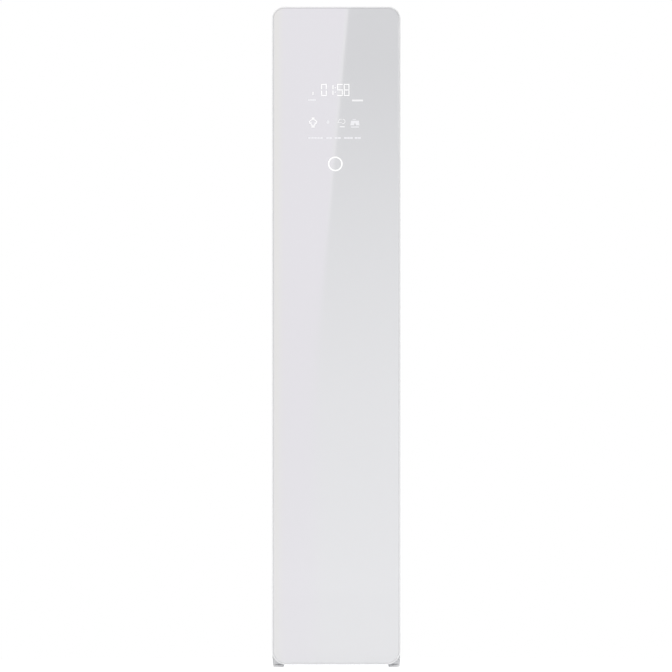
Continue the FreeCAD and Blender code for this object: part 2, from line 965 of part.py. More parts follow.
    wires = []
    middle = "shelf_height + fit_gap + shelf_wire"
    for i in range(SHELF_WIRES):
        x = f"({i} / {SHELF_WIRES - 1} - 0.5) * 2 * (cabin_x - shelf_wire - 1)"
        wires.append(
            rod(
                f"shelf_wire_{i}",
                "y",
                (x, f"{middle} + shelf_wire * 1.3"),
                ("shelf_front_y", "shelf_rear_y"),
                "shelf_wire * 0.7",
            ),
        )
    for i in range(3):
        run = "(shelf_rear_y - shelf_front_y - 4 * shelf_wire)"
        y = f"shelf_front_y + 2 * shelf_wire + {i} / 2 * {run}"
        wires.append(
            rod(
                f"shelf_cross_{i}",
                "x",
                (y, middle),
                ("-cabin_x + shelf_wire + 1", "cabin_x - shelf_wire - 1"),
                "shelf_wire * 0.8",
            ),
        )
    for side in (-1, 1):
        x = f"{side} * (cabin_x - shelf_wire - 1)"
        wires.append(
            rod(
                f"shelf_side_{side + 1}",
                "y",
                (x, middle),
                ("shelf_front_y + 1", "shelf_rear_y - 1"),
                "shelf_wire",
            ),
        )
    subpart(fuse("shelf_rack", *wires))


def shaking_rail():
    """The rail that shakes the hangers, with its carriage, guides, crank, motor and bridge."""
    plate = box(
        "drive_plate",
        ("-liner_x", "liner_x"),
        ("rail_y - guide_spacing", "rail_y + guide_spacing"),
        ("roof_z", "plate_z"),
    )
    arm_slots = []
    for side in (-1, 1):
        x = f"{side} * arm_spacing / 2"
        reach = "(rail_stroke + arm_radius + 2)"
        arm_slots.append(
            box(
                f"plate_slot_{side + 1}",
                (f"{x} - {reach}", f"{x} + {reach}"),
                ("rail_y - arm_radius - 2", "rail_y + arm_radius + 2"),
                ("roof_z - 1", "plate_z + 1"),
            ),
        )
    carriers = [cut("slotted_plate", plate, *arm_slots)]
    bores = []
    guides = []
    for side in (-1, 1):
        y = f"rail_y + {side} * guide_spacing / 2"
        for end in (-1, 1):
            near, far = ("-liner_x", "-liner_x + 14") if end < 0 else ("liner_x - 14", "liner_x")
            carriers.append(
                box(
                    f"guide_block_{side + 1}_{end + 1}",
                    (near, far),
                    (f"{y} - 12", f"{y} + 12"),
                    ("roof_z", "guide_z + 12"),
                ),
            )
        bores.append(
            rod(
                f"guide_seat_{side + 1}",
                "x",
                (y, "guide_z"),
                ("-liner_x - 1", "liner_x + 1"),
                "guide_radius + run_gap",
            ),
        )
        guides.append(
            rod(
                f"guide_rod_{side + 1}",
                "x",
                (y, "guide_z"),
                ("-liner_x", "liner_x"),
                "guide_radius",
            ),
        )
    legs = "arm_spacing / 2 + arm_radius + rail_stroke + 18"
    for side in (-1, 1):
        near, far = (f"-({legs}) - 6", f"-({legs})") if side < 0 else (legs, f"{legs} + 6")
        carriers.append(
            box(
                f"bridge_leg_{side + 1}",
                (near, far),
                ("rail_y - 22", "rail_y + 22"),
                ("roof_z", "bridge_z + 3"),
            ),
        )
    carriers.append(
        box(
            "bridge_top",
            (f"-({legs}) - 6", f"{legs} + 6"),
            ("rail_y - 22", "rail_y + 22"),
            ("bridge_z", "bridge_z + 3"),
        ),
    )
    bores.append(
        rod(
            "bridge_bore",
            "z",
            ("0", "rail_y"),
            ("bridge_z - 1", "bridge_z + 4"),
            "shaft_radius + 1",
        ),
    )
    subpart(cut("drive_housing", fuse("drive_frame", *carriers), *bores))
    subpart(group("rail_guides", *guides))

    subpart(
        turned(
            "rail_motor",
            [
                ("shaft_radius + run_gap", "bridge_z + 3"),
                ("motor_radius", "bridge_z + 3"),
                ("motor_radius", "bridge_z + 21"),
                ("motor_radius - 4", "bridge_z + 25"),
                ("shaft_radius + run_gap", "bridge_z + 25"),
            ],
            ("0", "rail_y", "0"),
        )
    )
    disc = rod(
        "crank_disc",
        "z",
        ("0", "rail_y"),
        ("carriage_top_z + 2", "bridge_z - 1"),
        "crank_throw + crank_pin_radius + 3",
    )
    shaft = rod(
        "crank_shaft",
        "z",
        ("0", "rail_y"),
        ("carriage_top_z + 2", "bridge_z + 22"),
        "shaft_radius",
    )
    pin = rod(
        "crank_pin",
        "z",
        ("0", "rail_y + crank_throw"),
        ("carriage_low_z + 2", "carriage_top_z + 3"),
        "crank_pin_radius",
    )
    subpart(fuse("rail_crank", disc, shaft, pin))

    half = "arm_spacing / 2 + arm_radius + 5"
    slab = box(
        "carriage_slab",
        (f"-({half})", half),
        ("rail_y - guide_spacing / 2 - 12", "rail_y + guide_spacing / 2 + 12"),
        ("carriage_low_z", "carriage_top_z"),
    )
    slider = [
        box(
            "yoke_slot",
            ("-crank_pin_radius - crank_slack", "crank_pin_radius + crank_slack"),
            (
                "rail_y - crank_throw - crank_pin_radius - 2",
                "rail_y + crank_throw + crank_pin_radius + 2",
            ),
            ("carriage_low_z - 1", "carriage_top_z + 1"),
        ),
    ]
    arms = []
    for side in (-1, 1):
        slider.append(
            rod(
                f"slider_bore_{side + 1}",
                "x",
                (f"rail_y + {side} * guide_spacing / 2", "guide_z"),
                (f"-({half}) - 1", f"{half} + 1"),
                "guide_radius + run_gap",
            ),
        )
        arms.append(
            rod(
                f"rail_arm_{side + 1}",
                "z",
                (f"{side} * arm_spacing / 2", "rail_y"),
                ("rail_z + rail_radius - 3", "carriage_low_z + 1"),
                "arm_radius",
            ),
        )
    subpart(fuse("rail_carriage", cut("carriage_slider", slab, *slider), *arms))

    bar = rod(
        "rail_bar",
        "x",
        ("rail_y", "rail_z"),
        ("-rail_length / 2", "rail_length / 2"),
        "rail_radius",
    )
    notches = []
    for side in (-1, 1):
        x = f"{side} * hanger_spacing / 2"
        span = (f"{x} - hook_wire_radius - 2", f"{x} + hook_wire_radius + 2")
        sleeve = rod(
            f"groove_outside_{side + 1}",
            "x",
            ("rail_y", "rail_z"),
            span,
            "rail_radius + 2",
        )
        core = rod(
            f"groove_core_{side + 1}",
            "x",
            ("rail_y", "rail_z"),
            (f"{span[0]} - 1", f"{span[1]} + 1"),
            "rail_radius - rail_groove",
        )
        notches.append(cut(f"rail_notch_{side + 1}", sleeve, core))
        notches.append(
            rod(
                f"arm_socket_{side + 1}",
                "z",
                (f"{side} * arm_spacing / 2", "rail_y"),
                ("rail_z + rail_radius - 3", "rail_z + rail_radius + 1"),
                "arm_radius + run_gap",
            ),
        )
    subpart(cut("hanger_rail", bar, *notches))


def hanger(label, side):
    """A coat hanger: a wire hook round the rail's groove above moulded shoulders."""
    wire = value("hook_wire_radius")
    bend = value("rail_radius") - value("rail_groove") + value("fit_gap") + wire
    x = side * value("hanger_spacing") / 2
    middle_y, middle_z = value("rail_y"), value("rail_z")

    def around(angle):
        return Vector(
            x,
            middle_y + bend * math.cos(math.radians(angle)),
            middle_z + bend * math.sin(math.radians(angle)),
        )

    turn = math.radians(45)
    leaving = around(225)
    lower = (middle_y - leaving.y) / (1 - math.cos(turn))
    below = leaving.z - lower * math.sin(turn)
    centre = Vector(x, middle_y - lower, below)
    half = Vector(x, centre.y + lower * math.cos(turn / 2), centre.z + lower * math.sin(turn / 2))
    shoulder_z = value("rail_z") - value("shoulder_drop")
    stem = Vector(x, middle_y, below)
    path = Part.Wire(
        [
            Part.Arc(around(-5), around(110), leaving).toShape(),
            Part.Arc(leaving, half, stem).toShape(),
            Part.LineSegment(stem, Vector(x, middle_y, shoulder_z - 8)).toShape(),
        ]
    )
    start = path.Edges[0]
    circle = Part.Circle(
        start.valueAt(start.FirstParameter),
        start.tangentAt(start.FirstParameter),
        wire,
    )
    hook = doc.addObject("Part::Feature", label + "_hook")
    hook.Shape = path.makePipeShell([Part.Wire(circle.toShape())], True, False)
    reach = "shoulder_width / 2"
    top = "rail_z - shoulder_drop"
    tip = f"{top} - hanger_slope - hanger_end_height"
    shoulders = pad(
        label + "_shoulders",
        "YZ",
        [
            ("rail_y - hanger_neck", top),
            (f"rail_y - {reach}", f"{tip} + hanger_end_height"),
            (f"rail_y - {reach}", tip),
            (f"rail_y - {reach} + hanger_end_width", tip),
            ("rail_y", f"{top} - hanger_arch"),
            (f"rail_y + {reach} - hanger_end_width", tip),
            (f"rail_y + {reach}", tip),
            (f"rail_y + {reach}", f"{tip} + hanger_end_height"),
            ("rail_y + hanger_neck", top),
        ],
        (
            f"{side} * hanger_spacing / 2 - hanger_thick / 2",
            f"{side} * hanger_spacing / 2 + hanger_thick / 2",
        ),
        [("shoulder_round", (1, 7))],
    )
    return subpart(fuse(label, hook, shoulders))


def machine_room():
    """The steam, air and cooling parts below the cabin floor."""
    outer = box(
        "duct_outer",
        ("duct_left", "duct_right"),
        ("duct_front_y", "duct_rear_y"),
        ("duct_low_z", "duct_top_z"),
    )
    inner = box(
        "duct_inner",
        ("duct_left + duct_wall", "duct_right - duct_wall"),
        ("duct_front_y + duct_wall", "duct_rear_y - duct_wall"),
        ("duct_low_z + duct_wall", "duct_top_z - duct_wall"),
    )
    top = ("duct_top_z - duct_wall - 1", "duct_top_z + 1")
    inlet = box(
        "duct_inlet",
        ("filter_left + rest_ledge", "filter_left + filter_width - rest_ledge"),
        ("filter_front_y + rest_ledge", "filter_rear_y - rest_ledge"),
        top,
    )
    outlet = box(
        "duct_outlet",
        ("scroll_left", "scroll_right"),
        ("grille_front_y + rest_ledge", "grille_rear_y - rest_ledge"),
        top,
    )
    ports = []
    for name, y in (
        ("warm", "condenser_y + coil_depth / 2"),
        ("cold", "evaporator_y + coil_depth / 2"),
    ):
        ports.append(
            rod(
                f"duct_port_{name}",
                "z",
                (f"{name}_pipe_x", y),
                ("duct_low_z - 1", "duct_low_z + duct_wall + 1"),
                "pipe_radius + 1",
            ),
        )
    subpart(cut("air_duct", outer, inner, inlet, outlet, *ports))

    for label, y in (("evaporator", "evaporator_y"), ("condenser", "condenser_y")):
        low, high = "duct_low_z + duct_wall", "duct_top_z - duct_wall - 10"
        core = []
        for row in range(COIL_ROWS):
            for side in (-1, 1):
                step = f"({row} + {side} / 4) / {COIL_ROWS - 1}"
                core.append(
                    rod(
                        f"{label}_tube_{row}_{side + 1}",
                        "x",
                        (
                            f"{y} + coil_depth / 2 * (1 + {side} * coil_spread)",
                            f"{low} + coil_margin + {step} * ({high} - ({low}) - 2 * coil_margin)",
                        ),
                        ("coil_left - coil_overhang", "coil_right + coil_overhang"),
                        "pipe_radius",
                    ),
                )
        for i in range(FINS):
            x = f"coil_left + {i} * (coil_right - coil_left - fin_thick) / {FINS - 1}"
            core.append(
                box(
                    f"{label}_fin_{i}",
                    (x, f"{x} + fin_thick"),
                    (y, f"{y} + coil_depth"),
                    (low, high),
                ),
            )
        subpart(fuse(label, *core))

    drum = rod(
        "scroll_drum",
        "x",
        ("fan_y", "fan_z"),
        ("scroll_left", "scroll_right"),
        "scroll_radius",
    )
    throat = box(
        "scroll_throat",
        ("scroll_left", "scroll_right"),
        ("grille_front_y + rest_ledge", "fan_y + scroll_radius"),
        ("fan_z", "duct_top_z - duct_wall - fit_gap"),
    )
    wall = "duct_wall"
    bore = rod(
        "scroll_bore",
        "x",
        ("fan_y", "fan_z"),
        (f"scroll_left + {wall}", f"scroll_right - {wall}"),
        f"scroll_radius - {wall}",
    )
    way = box(
        "throat_bore",
        (f"scroll_left + {wall}", f"scroll_right - {wall}"),
        (f"grille_front_y + rest_ledge + {wall}", f"fan_y + scroll_radius - {wall}"),
        ("fan_z", "duct_top_z"),
    )
    eye = rod(
        "scroll_eye",
        "x",
        ("fan_y", "fan_z"),
        ("scroll_left - 1", f"scroll_left + {wall} + 1"),
        "fan_radius * 0.6",
    )
    shaft_hole = rod(
        "scroll_shaft_hole",
        "x",
        ("fan_y", "fan_z"),
        (f"scroll_right - {wall} - 1", "scroll_right + 1"),
        "shaft_radius + 1",
    )
    subpart(cut("fan_scroll", fuse("scroll_solid", drum, throat), bore, way, eye, shaft_hole))
    motor = rod(
        "fan_motor_can",
        "x",
        ("fan_y", "fan_z"),
        ("scroll_right", "duct_right - duct_wall - fit_gap"),
        "27",
    )
    subpart(
        cut(
            "fan_motor",
            motor,
            rod(
                "fan_motor_bore",
                "x",
                ("fan_y", "fan_z"),
                ("scroll_right - 1", "duct_right"),
                "shaft_radius + run_gap",
            ),
        ),
    )
    wheel_low, wheel_high = "fan_x - fan_width / 2", "fan_x + fan_width / 2"
    rings = []
    for name, x in (("near", wheel_low), ("far", f"{wheel_high} - 3")):
        rings.append(
            rod(f"fan_ring_{name}", "x", ("fan_y", "fan_z"), (x, f"{x} + 3"), "fan_radius"),
        )
    eye = rod(
        "fan_eye",
        "x",
        ("fan_y", "fan_z"),
        (f"{wheel_low} - 1", f"{wheel_low} + 4"),
        "fan_radius - 10",
    )
    blades = []
    for i in range(FAN_BLADES):
        turn = i * 360 / FAN_BLADES
        middle_y = f"fan_y + (fan_radius - 5) * cos({turn})"
        middle_z = f"fan_z + (fan_radius - 5) * sin({turn})"
        blade = doc.addObject("Part::Box", f"fan_blade_{i}")
        blade.Placement = Placement(Vector(), Rotation(AXES["x"], turn + 35))
        bind(blade, "Placement.Base.x", wheel_low)
        bind(blade, "Placement.Base.y", f"{middle_y} - 3.5 * cos({turn + 35})")
        bind(blade, "Placement.Base.z", f"{middle_z} - 3.5 * sin({turn + 35})")
        bind(blade, "Length", "fan_width")
        blade.Width = 7
        blade.Height = 1.4
        blades.append(blade)
    axle = rod(
        "fan_axle",
        "x",
        ("fan_y", "fan_z"),
        (f"{wheel_high} - 3", "duct_right - duct_wall - 4"),
        "shaft_radius",
    )
    subpart(fuse("fan_wheel", cut("fan_rings", fuse("fan_ring_pair", *rings), eye), axle, *blades))

    grommets = []
    feet = []
    for side in (-1, 1):
        for end in (-1, 1):
            at = (
                f"compressor_x + {side} * compressor_radius * 0.75",
                f"compressor_y + {end} * compressor_radius * 0.75",
            )
            grommets.append(
                rod(f"grommet_{side + 1}_{end + 1}", "z", at, ("pan_z", "compressor_z"), "10"),
            )
            feet.append(
                rod(
                    f"grommet_seat_{side + 1}_{end + 1}",
                    "z",
                    at,
                    ("compressor_z", "compressor_z + 3"),
                    "12",
                ),
            )
    subpart(group("compressor_grommets", *grommets))
    reach = "compressor_radius * 0.75 + 8"
    base = box(
        "compressor_base",
        (f"compressor_x - ({reach})", f"compressor_x + {reach}"),
        (f"compressor_y - ({reach})", f"compressor_y + {reach}"),
        ("compressor_z", "compressor_z + 3"),
    )
    can = turned(
        "compressor_can",
        [
            ("0", "0"),
            ("compressor_radius * 0.7", "0"),
            ("compressor_radius", "14"),
            ("compressor_radius", "compressor_height / 2 - 2"),
            ("compressor_radius + 3", "compressor_height / 2 - 2"),
            ("compressor_radius + 3", "compressor_height / 2 + 2"),
            ("compressor_radius", "compressor_height / 2 + 2"),
            ("compressor_radius", "compressor_height - 22"),
            ("compressor_radius * 0.8", "compressor_height - 7"),
            ("compressor_radius * 0.5", "compressor_height"),
            ("0", "compressor_height"),
        ],
        ("compressor_x", "compressor_y", "compressor_z + 3"),
    )
    tank = rod(
        "suction_tank",
        "z",
        ("suction_x", "compressor_y"),
        ("suction_top_z - suction_height", "suction_top_z"),
        "suction_radius",
    )
    subpart(fuse("compressor", base, can, tank, *feet))

    subpart(
        turned(
            "steam_generator",
            [
                ("0", "pan_z"),
                ("boiler_radius - 8", "pan_z"),
                ("boiler_radius - 8", "pan_z + 30"),
                ("boiler_radius + 5", "pan_z + 30"),
                ("boiler_radius + 5", "pan_z + 36"),
                ("boiler_radius", "pan_z + 36"),
                ("boiler_radius", "boiler_top_z - 12"),
                ("boiler_radius - 12", "boiler_top_z"),
                ("hose_radius + 1", "boiler_top_z"),
                ("hose_radius + 1", "boiler_top_z + 6"),
                ("0", "boiler_top_z + 6"),
            ],
            ("boiler_x", "boiler_y", "0"),
        )
    )
    pumps = []
    for name in ("supply", "drain"):
        at = (f"{name}_pump_x", "pump_y")
        body = rod(f"{name}_pump_can", "z", at, ("pan_z", "pan_z + pump_height"), "pump_radius")
        neck = rod(
            f"{name}_pump_neck",
            "z",
            at,
            ("pan_z + pump_height - 1", "pan_z + pump_height + 8"),
            "hose_radius + 1",
        )
        pumps.append(fuse(f"{name}_pump", body, neck))
    subpart(group("water_pumps", *pumps))
    subpart(
        group(
            "tank_valves",
            *[
                rod(
                    f"tank_valve_{side + 1}",
                    "z",
                    (f"{side} * valve_x", "valve_y"),
                    ("bay_height - liner_wall - 8", "bay_height + valve_rise"),
                    "valve_radius",
                ) for side in (-1, 1)
            ],
        )
    )
    low = value("bay_height") - value("liner_wall") - 8
    pump_top = value("pan_z") + value("pump_height") + 8
    hose = value("hose_radius")
    bend = 2.2 * hose
    level = (low + pump_top) / 2
    hoses = []
    for name, side in (("supply", -1), ("drain", 1)):
        valve = (side * value("valve_x"), value("valve_y"))
        pump = (value(f"{name}_pump_x"), value("pump_y"))
        points = [(*valve, low), (*valve, level + 4), (*pump, level + 4 + 1), (*pump, pump_top)]
        hoses.append(tube(f"{name}_hose", points, hose, bend))

    top_z = value("boiler_top_z") + 6
    boiler = (value("boiler_x"), value("boiler_y"))
    nozzle = (value("nozzle_x"), value("nozzle_y"))
    nozzle_low = value("nozzle_low_z")
    rise = (nozzle_low - top_z) / 3
    route = [
        (*boiler, top_z),
        (*boiler, top_z + rise),
        (*nozzle, nozzle_low - rise),
        (*nozzle, nozzle_low),
    ]
    hoses.append(tube("steam_hose", route, hose, 5 * hose))
    subpart(group("hoses", *hoses))

    pipe = value("pipe_radius")
    crown = value("compressor_z") + 3 + value("compressor_height")
    under = value("duct_low_z") - pipe - 6
    into = value("duct_low_z") + value("duct_wall")
    warm_y = value("condenser_y") + value("coil_depth") / 2
    cold_y = value("evaporator_y") + value("coil_depth") / 2
    warm = (value("warm_pipe_x"), warm_y)
    cold = (value("cold_pipe_x"), cold_y)
    compressor_at = (value("compressor_x"), value("compressor_y"))
    suction = (value("suction_x"), value("compressor_y"))
    suction_z = value("suction_top_z")
    pipes = [
        tube(
            "hot_gas_pipe",
            [(*compressor_at, crown), (*compressor_at, under), (*warm, under), (*warm, into)],
            pipe,
            2.4 * pipe,
        ),
        tube(
            "suction_pipe",
            [(*suction, suction_z), (*suction, under - 12), (*cold, under - 12), (*cold, into)],
            pipe,
            2.4 * pipe,
        ),
    ]
    subpart(group("refrigerant_pipes", *pipes))

    case = box(
        "control_case",
        ("control_left", "control_right"),
        ("control_front_y", "control_rear_y"),
        ("pan_z", "pan_z + control_height"),
    )
    wall = "control_wall"
    hollow = box(
        "control_hollow",
        (f"control_left + {wall}", f"control_right - {wall}"),
        (f"control_front_y + {wall}", f"control_rear_y - {wall}"),
        (f"pan_z + {wall}", "pan_z + control_height + 1"),
    )
    board_x = "control_left + 5 * control_wall"
    margin = "5 * control_wall"
    board = box(
        "board_plate",
        (board_x, f"{board_x} + board_thick"),
        (f"control_front_y + {margin}", f"control_rear_y - 4 * control_wall"),
        (f"pan_z + {wall}", f"pan_z + {wall} + control_board_height"),
    )
    parts = []
    for i in range(BOARD_PARTS):
        y = f"control_front_y + {margin} + control_part_width / 2 + {i} * control_part_width * 1.16"
        z = f"pan_z + control_part_width * (1.5 + {i} / 2)"
        parts.append(
            box(
                f"board_part_{i}",
                (
                    f"{board_x} + board_thick / 2",
                    f"{board_x} + board_thick / 2 + control_part_width",
                ),
                (y, f"{y} + control_part_width * 0.7"),
                (z, f"{z} + control_part_width"),
            )
        )
    subpart(cut("control_box", case, hollow))
    subpart(fuse("control_board", board, *parts))


def tank(label, side):
    """A water tank with a valve socket in its floor, and its lid with an arched handle."""
    near, far = "tank_gap / 2", "cabin_x - tank_side_gap"
    left, right = (mirrored(far), mirrored(near)) if side < 0 else (near, far)
    shell = pad(
        label + "_outer",
        "XY",
        rectangle(left, right, "tank_front_y", "tank_rear_y"),
        ("tank_low_z", "tank_top_z"),
        [("tank_round", (0, 1, 2, 3))],
    )
    inside = rectangle(
        f"{left} + tank_wall",
        f"{right} - tank_wall",
        "tank_front_y + tank_wall",
        "tank_rear_y - tank_wall",
    )
    hollow = pad(
        label + "_hollow",
        "XY",
        inside,
        ("tank_low_z + tank_wall", "tank_top_z + 1"),
        [("tank_round - tank_wall", (0, 1, 2, 3))],
    )
    at = (f"{side} * valve_x", "valve_y")
    socket = rod(
        label + "_socket",
        "z",
        at,
        ("tank_low_z", "bay_height + valve_rise + 2 + tank_wall"),
        "valve_radius + 1 + tank_wall",
    )
    well = rod(
        label + "_socket_well",
        "z",
        at,
        ("tank_low_z - 1", "bay_height + valve_rise + 2"),
        "valve_radius + 1",
    )
    subpart(cut(label, fuse(label + "_body", cut(label + "_shell", shell, hollow), socket), well))

    lid_z = "tank_top_z + fit_gap"
    plate = pad(
        label + "_lid_plate",
        "XY",
        rectangle(left, right, "tank_front_y", "tank_rear_y"),
        (lid_z, f"{lid_z} + lid_thick"),
        [("tank_round", (0, 1, 2, 3))],
    )
    margin = "tank_wall + fit_gap"
    plug = pad(
        label + "_lid_plug",
        "XY",
        rectangle(
            f"{left} + {margin}",
            f"{right} - ({margin})",
            f"tank_front_y + {margin}",
            f"tank_rear_y - ({margin})",
        ),
        (f"{lid_z} - 5", f"{lid_z} + 1"),
        [("tank_round - tank_wall", (0, 1, 2, 3))],
    )
    middle = f"({left} + {right}) / 2"
    span = (f"{middle} - handle_length / 2", f"{middle} + handle_length / 2")
    across = ("(tank_front_y + tank_rear_y) / 2 - 8", "(tank_front_y + tank_rear_y) / 2 + 8")
    top = f"{lid_z} + lid_thick"
    arch = pad(
        label + "_handle",
        "XZ",
        rectangle(span[0], span[1], f"{top} - 1", f"{top} + handle_rise + 7"),
        across,
        [("handle_round", (2, 3))],
    )
    gap = box(
        label + "_handle_gap",
        (f"{span[0]} + 8", f"{span[1]} - 8"),
        (f"{across[0]} - 1", f"{across[1]} + 1"),
        (top, f"{top} + handle_rise"),
    )
    subpart(fuse(label + "_lid", cut(label + "_grip", arch, gap), plate, plug))


def door_outline(inset):
    """The door's outline from the front, drawn in from its edge by an inset."""
    return rectangle(
        f"-(door_side - ({inset}))",
        f"door_side - ({inset})",
        f"door_low_z + ({inset})",
        f"overall_height - ({inset})",
    )


def door_plate(label, inset, span):
    """A plate of the door's outline with its rounded corners."""
    rounding = [
        (f"door_bottom_radius - ({inset})", (0, 1)),
        (f"door_top_radius - ({inset})", (2, 3)),
    ]
    return pad(label, "XZ", door_outline(inset), span, rounding)


def hinge_slot(label, slot_z):
    """The gap in the door that a hinge bracket swings through."""
    return box(
        label,
        ("hinge_x - bracket_half_width - 6", "door_side + 1"),
        ("glass_rear_y + 1.6", "door_rear_y + 1"),
        (f"{slot_z} - bracket_slot / 2", f"{slot_z} + bracket_slot / 2"),
    )


def grip_block(label, grow, start):
    """The space of the grip in the door's left edge, larger by grow all round, from start inwards."""
    return box(
        label,
        (start, f"-door_side + grip_depth + ({grow})"),
        (f"grip_y - grip_opening / 2 - ({grow})", f"grip_y + grip_opening / 2 + ({grow})"),
        (f"grip_middle - grip_height / 2 - ({grow})", f"grip_middle + grip_height / 2 + ({grow})"),
    )


def door():
    """The glass-fronted door and everything that swings with it."""
    ring = cut(
        "door_ring",
        door_plate("door_ring_outer", "0", ("door_front_y", "door_rear_y")),
        door_plate("door_ring_hollow", "frame_lip", ("door_front_y - 1", "door_rear_y + 1")),
    )
    subpart(
        cut(
            "door_frame",
            ring,
            hinge_slot("upper_ring_slot", "upper_slot_z"),
            hinge_slot("lower_ring_slot", "lower_slot_z"),
            grip_block("grip_window", "0", "-door_side - 1"),
        ),
    )

    glass = door_plate("door_glass", "frame_lip + 0.2", ("glass_front_y", "glass_rear_y"))
    outline = glass.Tip
    edges = []
    for index, edge in enumerate(outline.Shape.Edges, start=1):
        if abs(edge.BoundBox.YMax - value("glass_front_y")) < 0.001:
            edges.append(f"Edge{index}")
    bevel = glass.newObject("PartDesign::Chamfer", "glass_edge")
    bevel.Base = (outline, edges)
    bevel.ChamferType = "Two distances"
    bind(bevel, "Size", "glass_bevel_depth")
    bind(bevel, "Size2", "glass_bevel")
    doc.recompute()
    subpart(glass)

    tray = door_plate("tray_plate", "frame_lip + fit_gap", ("tray_y", "door_rear_y"))
    subpart(
        cut(
            "door_liner",
            tray,
            hinge_slot("upper_tray_slot", "upper_slot_z"),
            hinge_slot("lower_tray_slot", "lower_slot_z"),
        ),
    )

    behind_glass = ("glass_rear_y", "tray_y")
    upper_cap_z = "overall_height - end_cap_height"
    lower_cap_z = "door_low_z + end_cap_height"
    core = box(
        "foam_block",
        ("-lip_x + fit_gap", "lip_x - fit_gap"),
        behind_glass,
        (f"{lower_cap_z} + fit_gap", f"{upper_cap_z} - fit_gap"),
    )
    board_space = ("-board_width / 2 - fit_gap", "board_width / 2 + fit_gap")
    board_z = (
        "board_middle - board_height / 2 - fit_gap",
        "board_middle + board_height / 2 + fit_gap",
    )
    board_pocket = box(
        "board_pocket",
        board_space,
        ("glass_rear_y - 1", "glass_rear_y + 2 * fit_gap + board_thick"),
        board_z,
    )
    subpart(
        cut(
            "door_foam",
            core,
            board_pocket,
            grip_block("grip_pocket", "grip_wall + fit_gap", "-door_side"),
        ),
    )
    subpart(
        box(
            "display_board",
            ("-board_width / 2", "board_width / 2"),
            ("glass_rear_y + fit_gap", "glass_rear_y + fit_gap + board_thick"),
            ("board_middle - board_height / 2", "board_middle + board_height / 2"),
        )
    )

    cup = grip_block("grip_cup", "grip_wall", "-lip_x + fit_gap")
    collar = grip_block("grip_collar", "-fit_gap", "-door_side")
    inside = grip_block("grip_inside", "-grip_wall", "-door_side - 1")
    subpart(cut("door_grip", fuse("grip_solid", cup, cut("grip_neck", collar, inside)), inside))

    caps = []
    bushes = []
    for name, slot_z, span, reach in (
        ("upper", "upper_slot_z", (upper_cap_z, "overall_height"), -1),
        ("lower", "lower_slot_z", ("door_low_z", lower_cap_z), 1),
    ):
        block = doc.addObject("Part::Common", f"{name}_cap_block")
        block.Base = door_plate(f"{name}_cap_plate", "frame_lip + fit_gap", behind_glass)
        block.Tool = box(
            f"{name}_cap_zone",
            ("-door_side", "door_side"),
            ("door_front_y", "door_rear_y"),
            span,
        )
        floor_z = f"{slot_z} + {reach} * bracket_slot / 2"
        ends = (
            f"{floor_z} - hinge_bush_length",
            floor_z,
        ) if reach < 0 else (floor_z, f"{floor_z} + hinge_bush_length")
        seat = rod(
            f"{name}_bush_seat",
            "z",
            ("hinge_x", "hinge_y"),
            (f"{ends[0]} - {1 if reach > 0 else 0}", f"{ends[1]} + {1 if reach < 0 else 0}"),
            "hinge_bush_radius + run_gap",
        )
        caps.append(cut(f"{name}_cap", block, hinge_slot(f"{name}_cap_slot", slot_z), seat))
        bush = rod(f"{name}_bush_outer", "z", ("hinge_x", "hinge_y"), ends, "hinge_bush_radius")
        bore = rod(
            f"{name}_bush_bore",
            "z",
            ("hinge_x", "hinge_y"),
            (f"{ends[0]} - 1", f"{ends[1]} + 1"),
            "hinge_pin_radius + run_gap",
        )
        bushes.append(cut(f"{name}_bush", bush, bore))
    subpart(group("door_end_caps", *caps))
    subpart(group("hinge_bushes", *bushes))

    lap = "cabin_x + gasket_lap"
    span = ("door_rear_y", "face_y - fit_gap")
    rounding = [("gasket_width + 4", (0, 1, 2, 3))]
    outer = pad(
        "gasket_outer",
        "XZ",
        rectangle(mirrored(lap), lap, "bay_height - gasket_lap", "cabin_top_z + gasket_lap"),
        span,
        rounding,
    )
    lap = "cabin_x + gasket_lap - gasket_width"
    inner = pad(
        "gasket_inner",
        "XZ",
        rectangle(
            mirrored(lap),
            lap,
            "bay_height - gasket_lap + gasket_width",
            "cabin_top_z + gasket_lap - gasket_width",
        ),
        ("door_rear_y - 1", "face_y + 1"),
        [("4", (0, 1, 2, 3))],
    )
    subpart(cut("door_gasket", outer, inner))


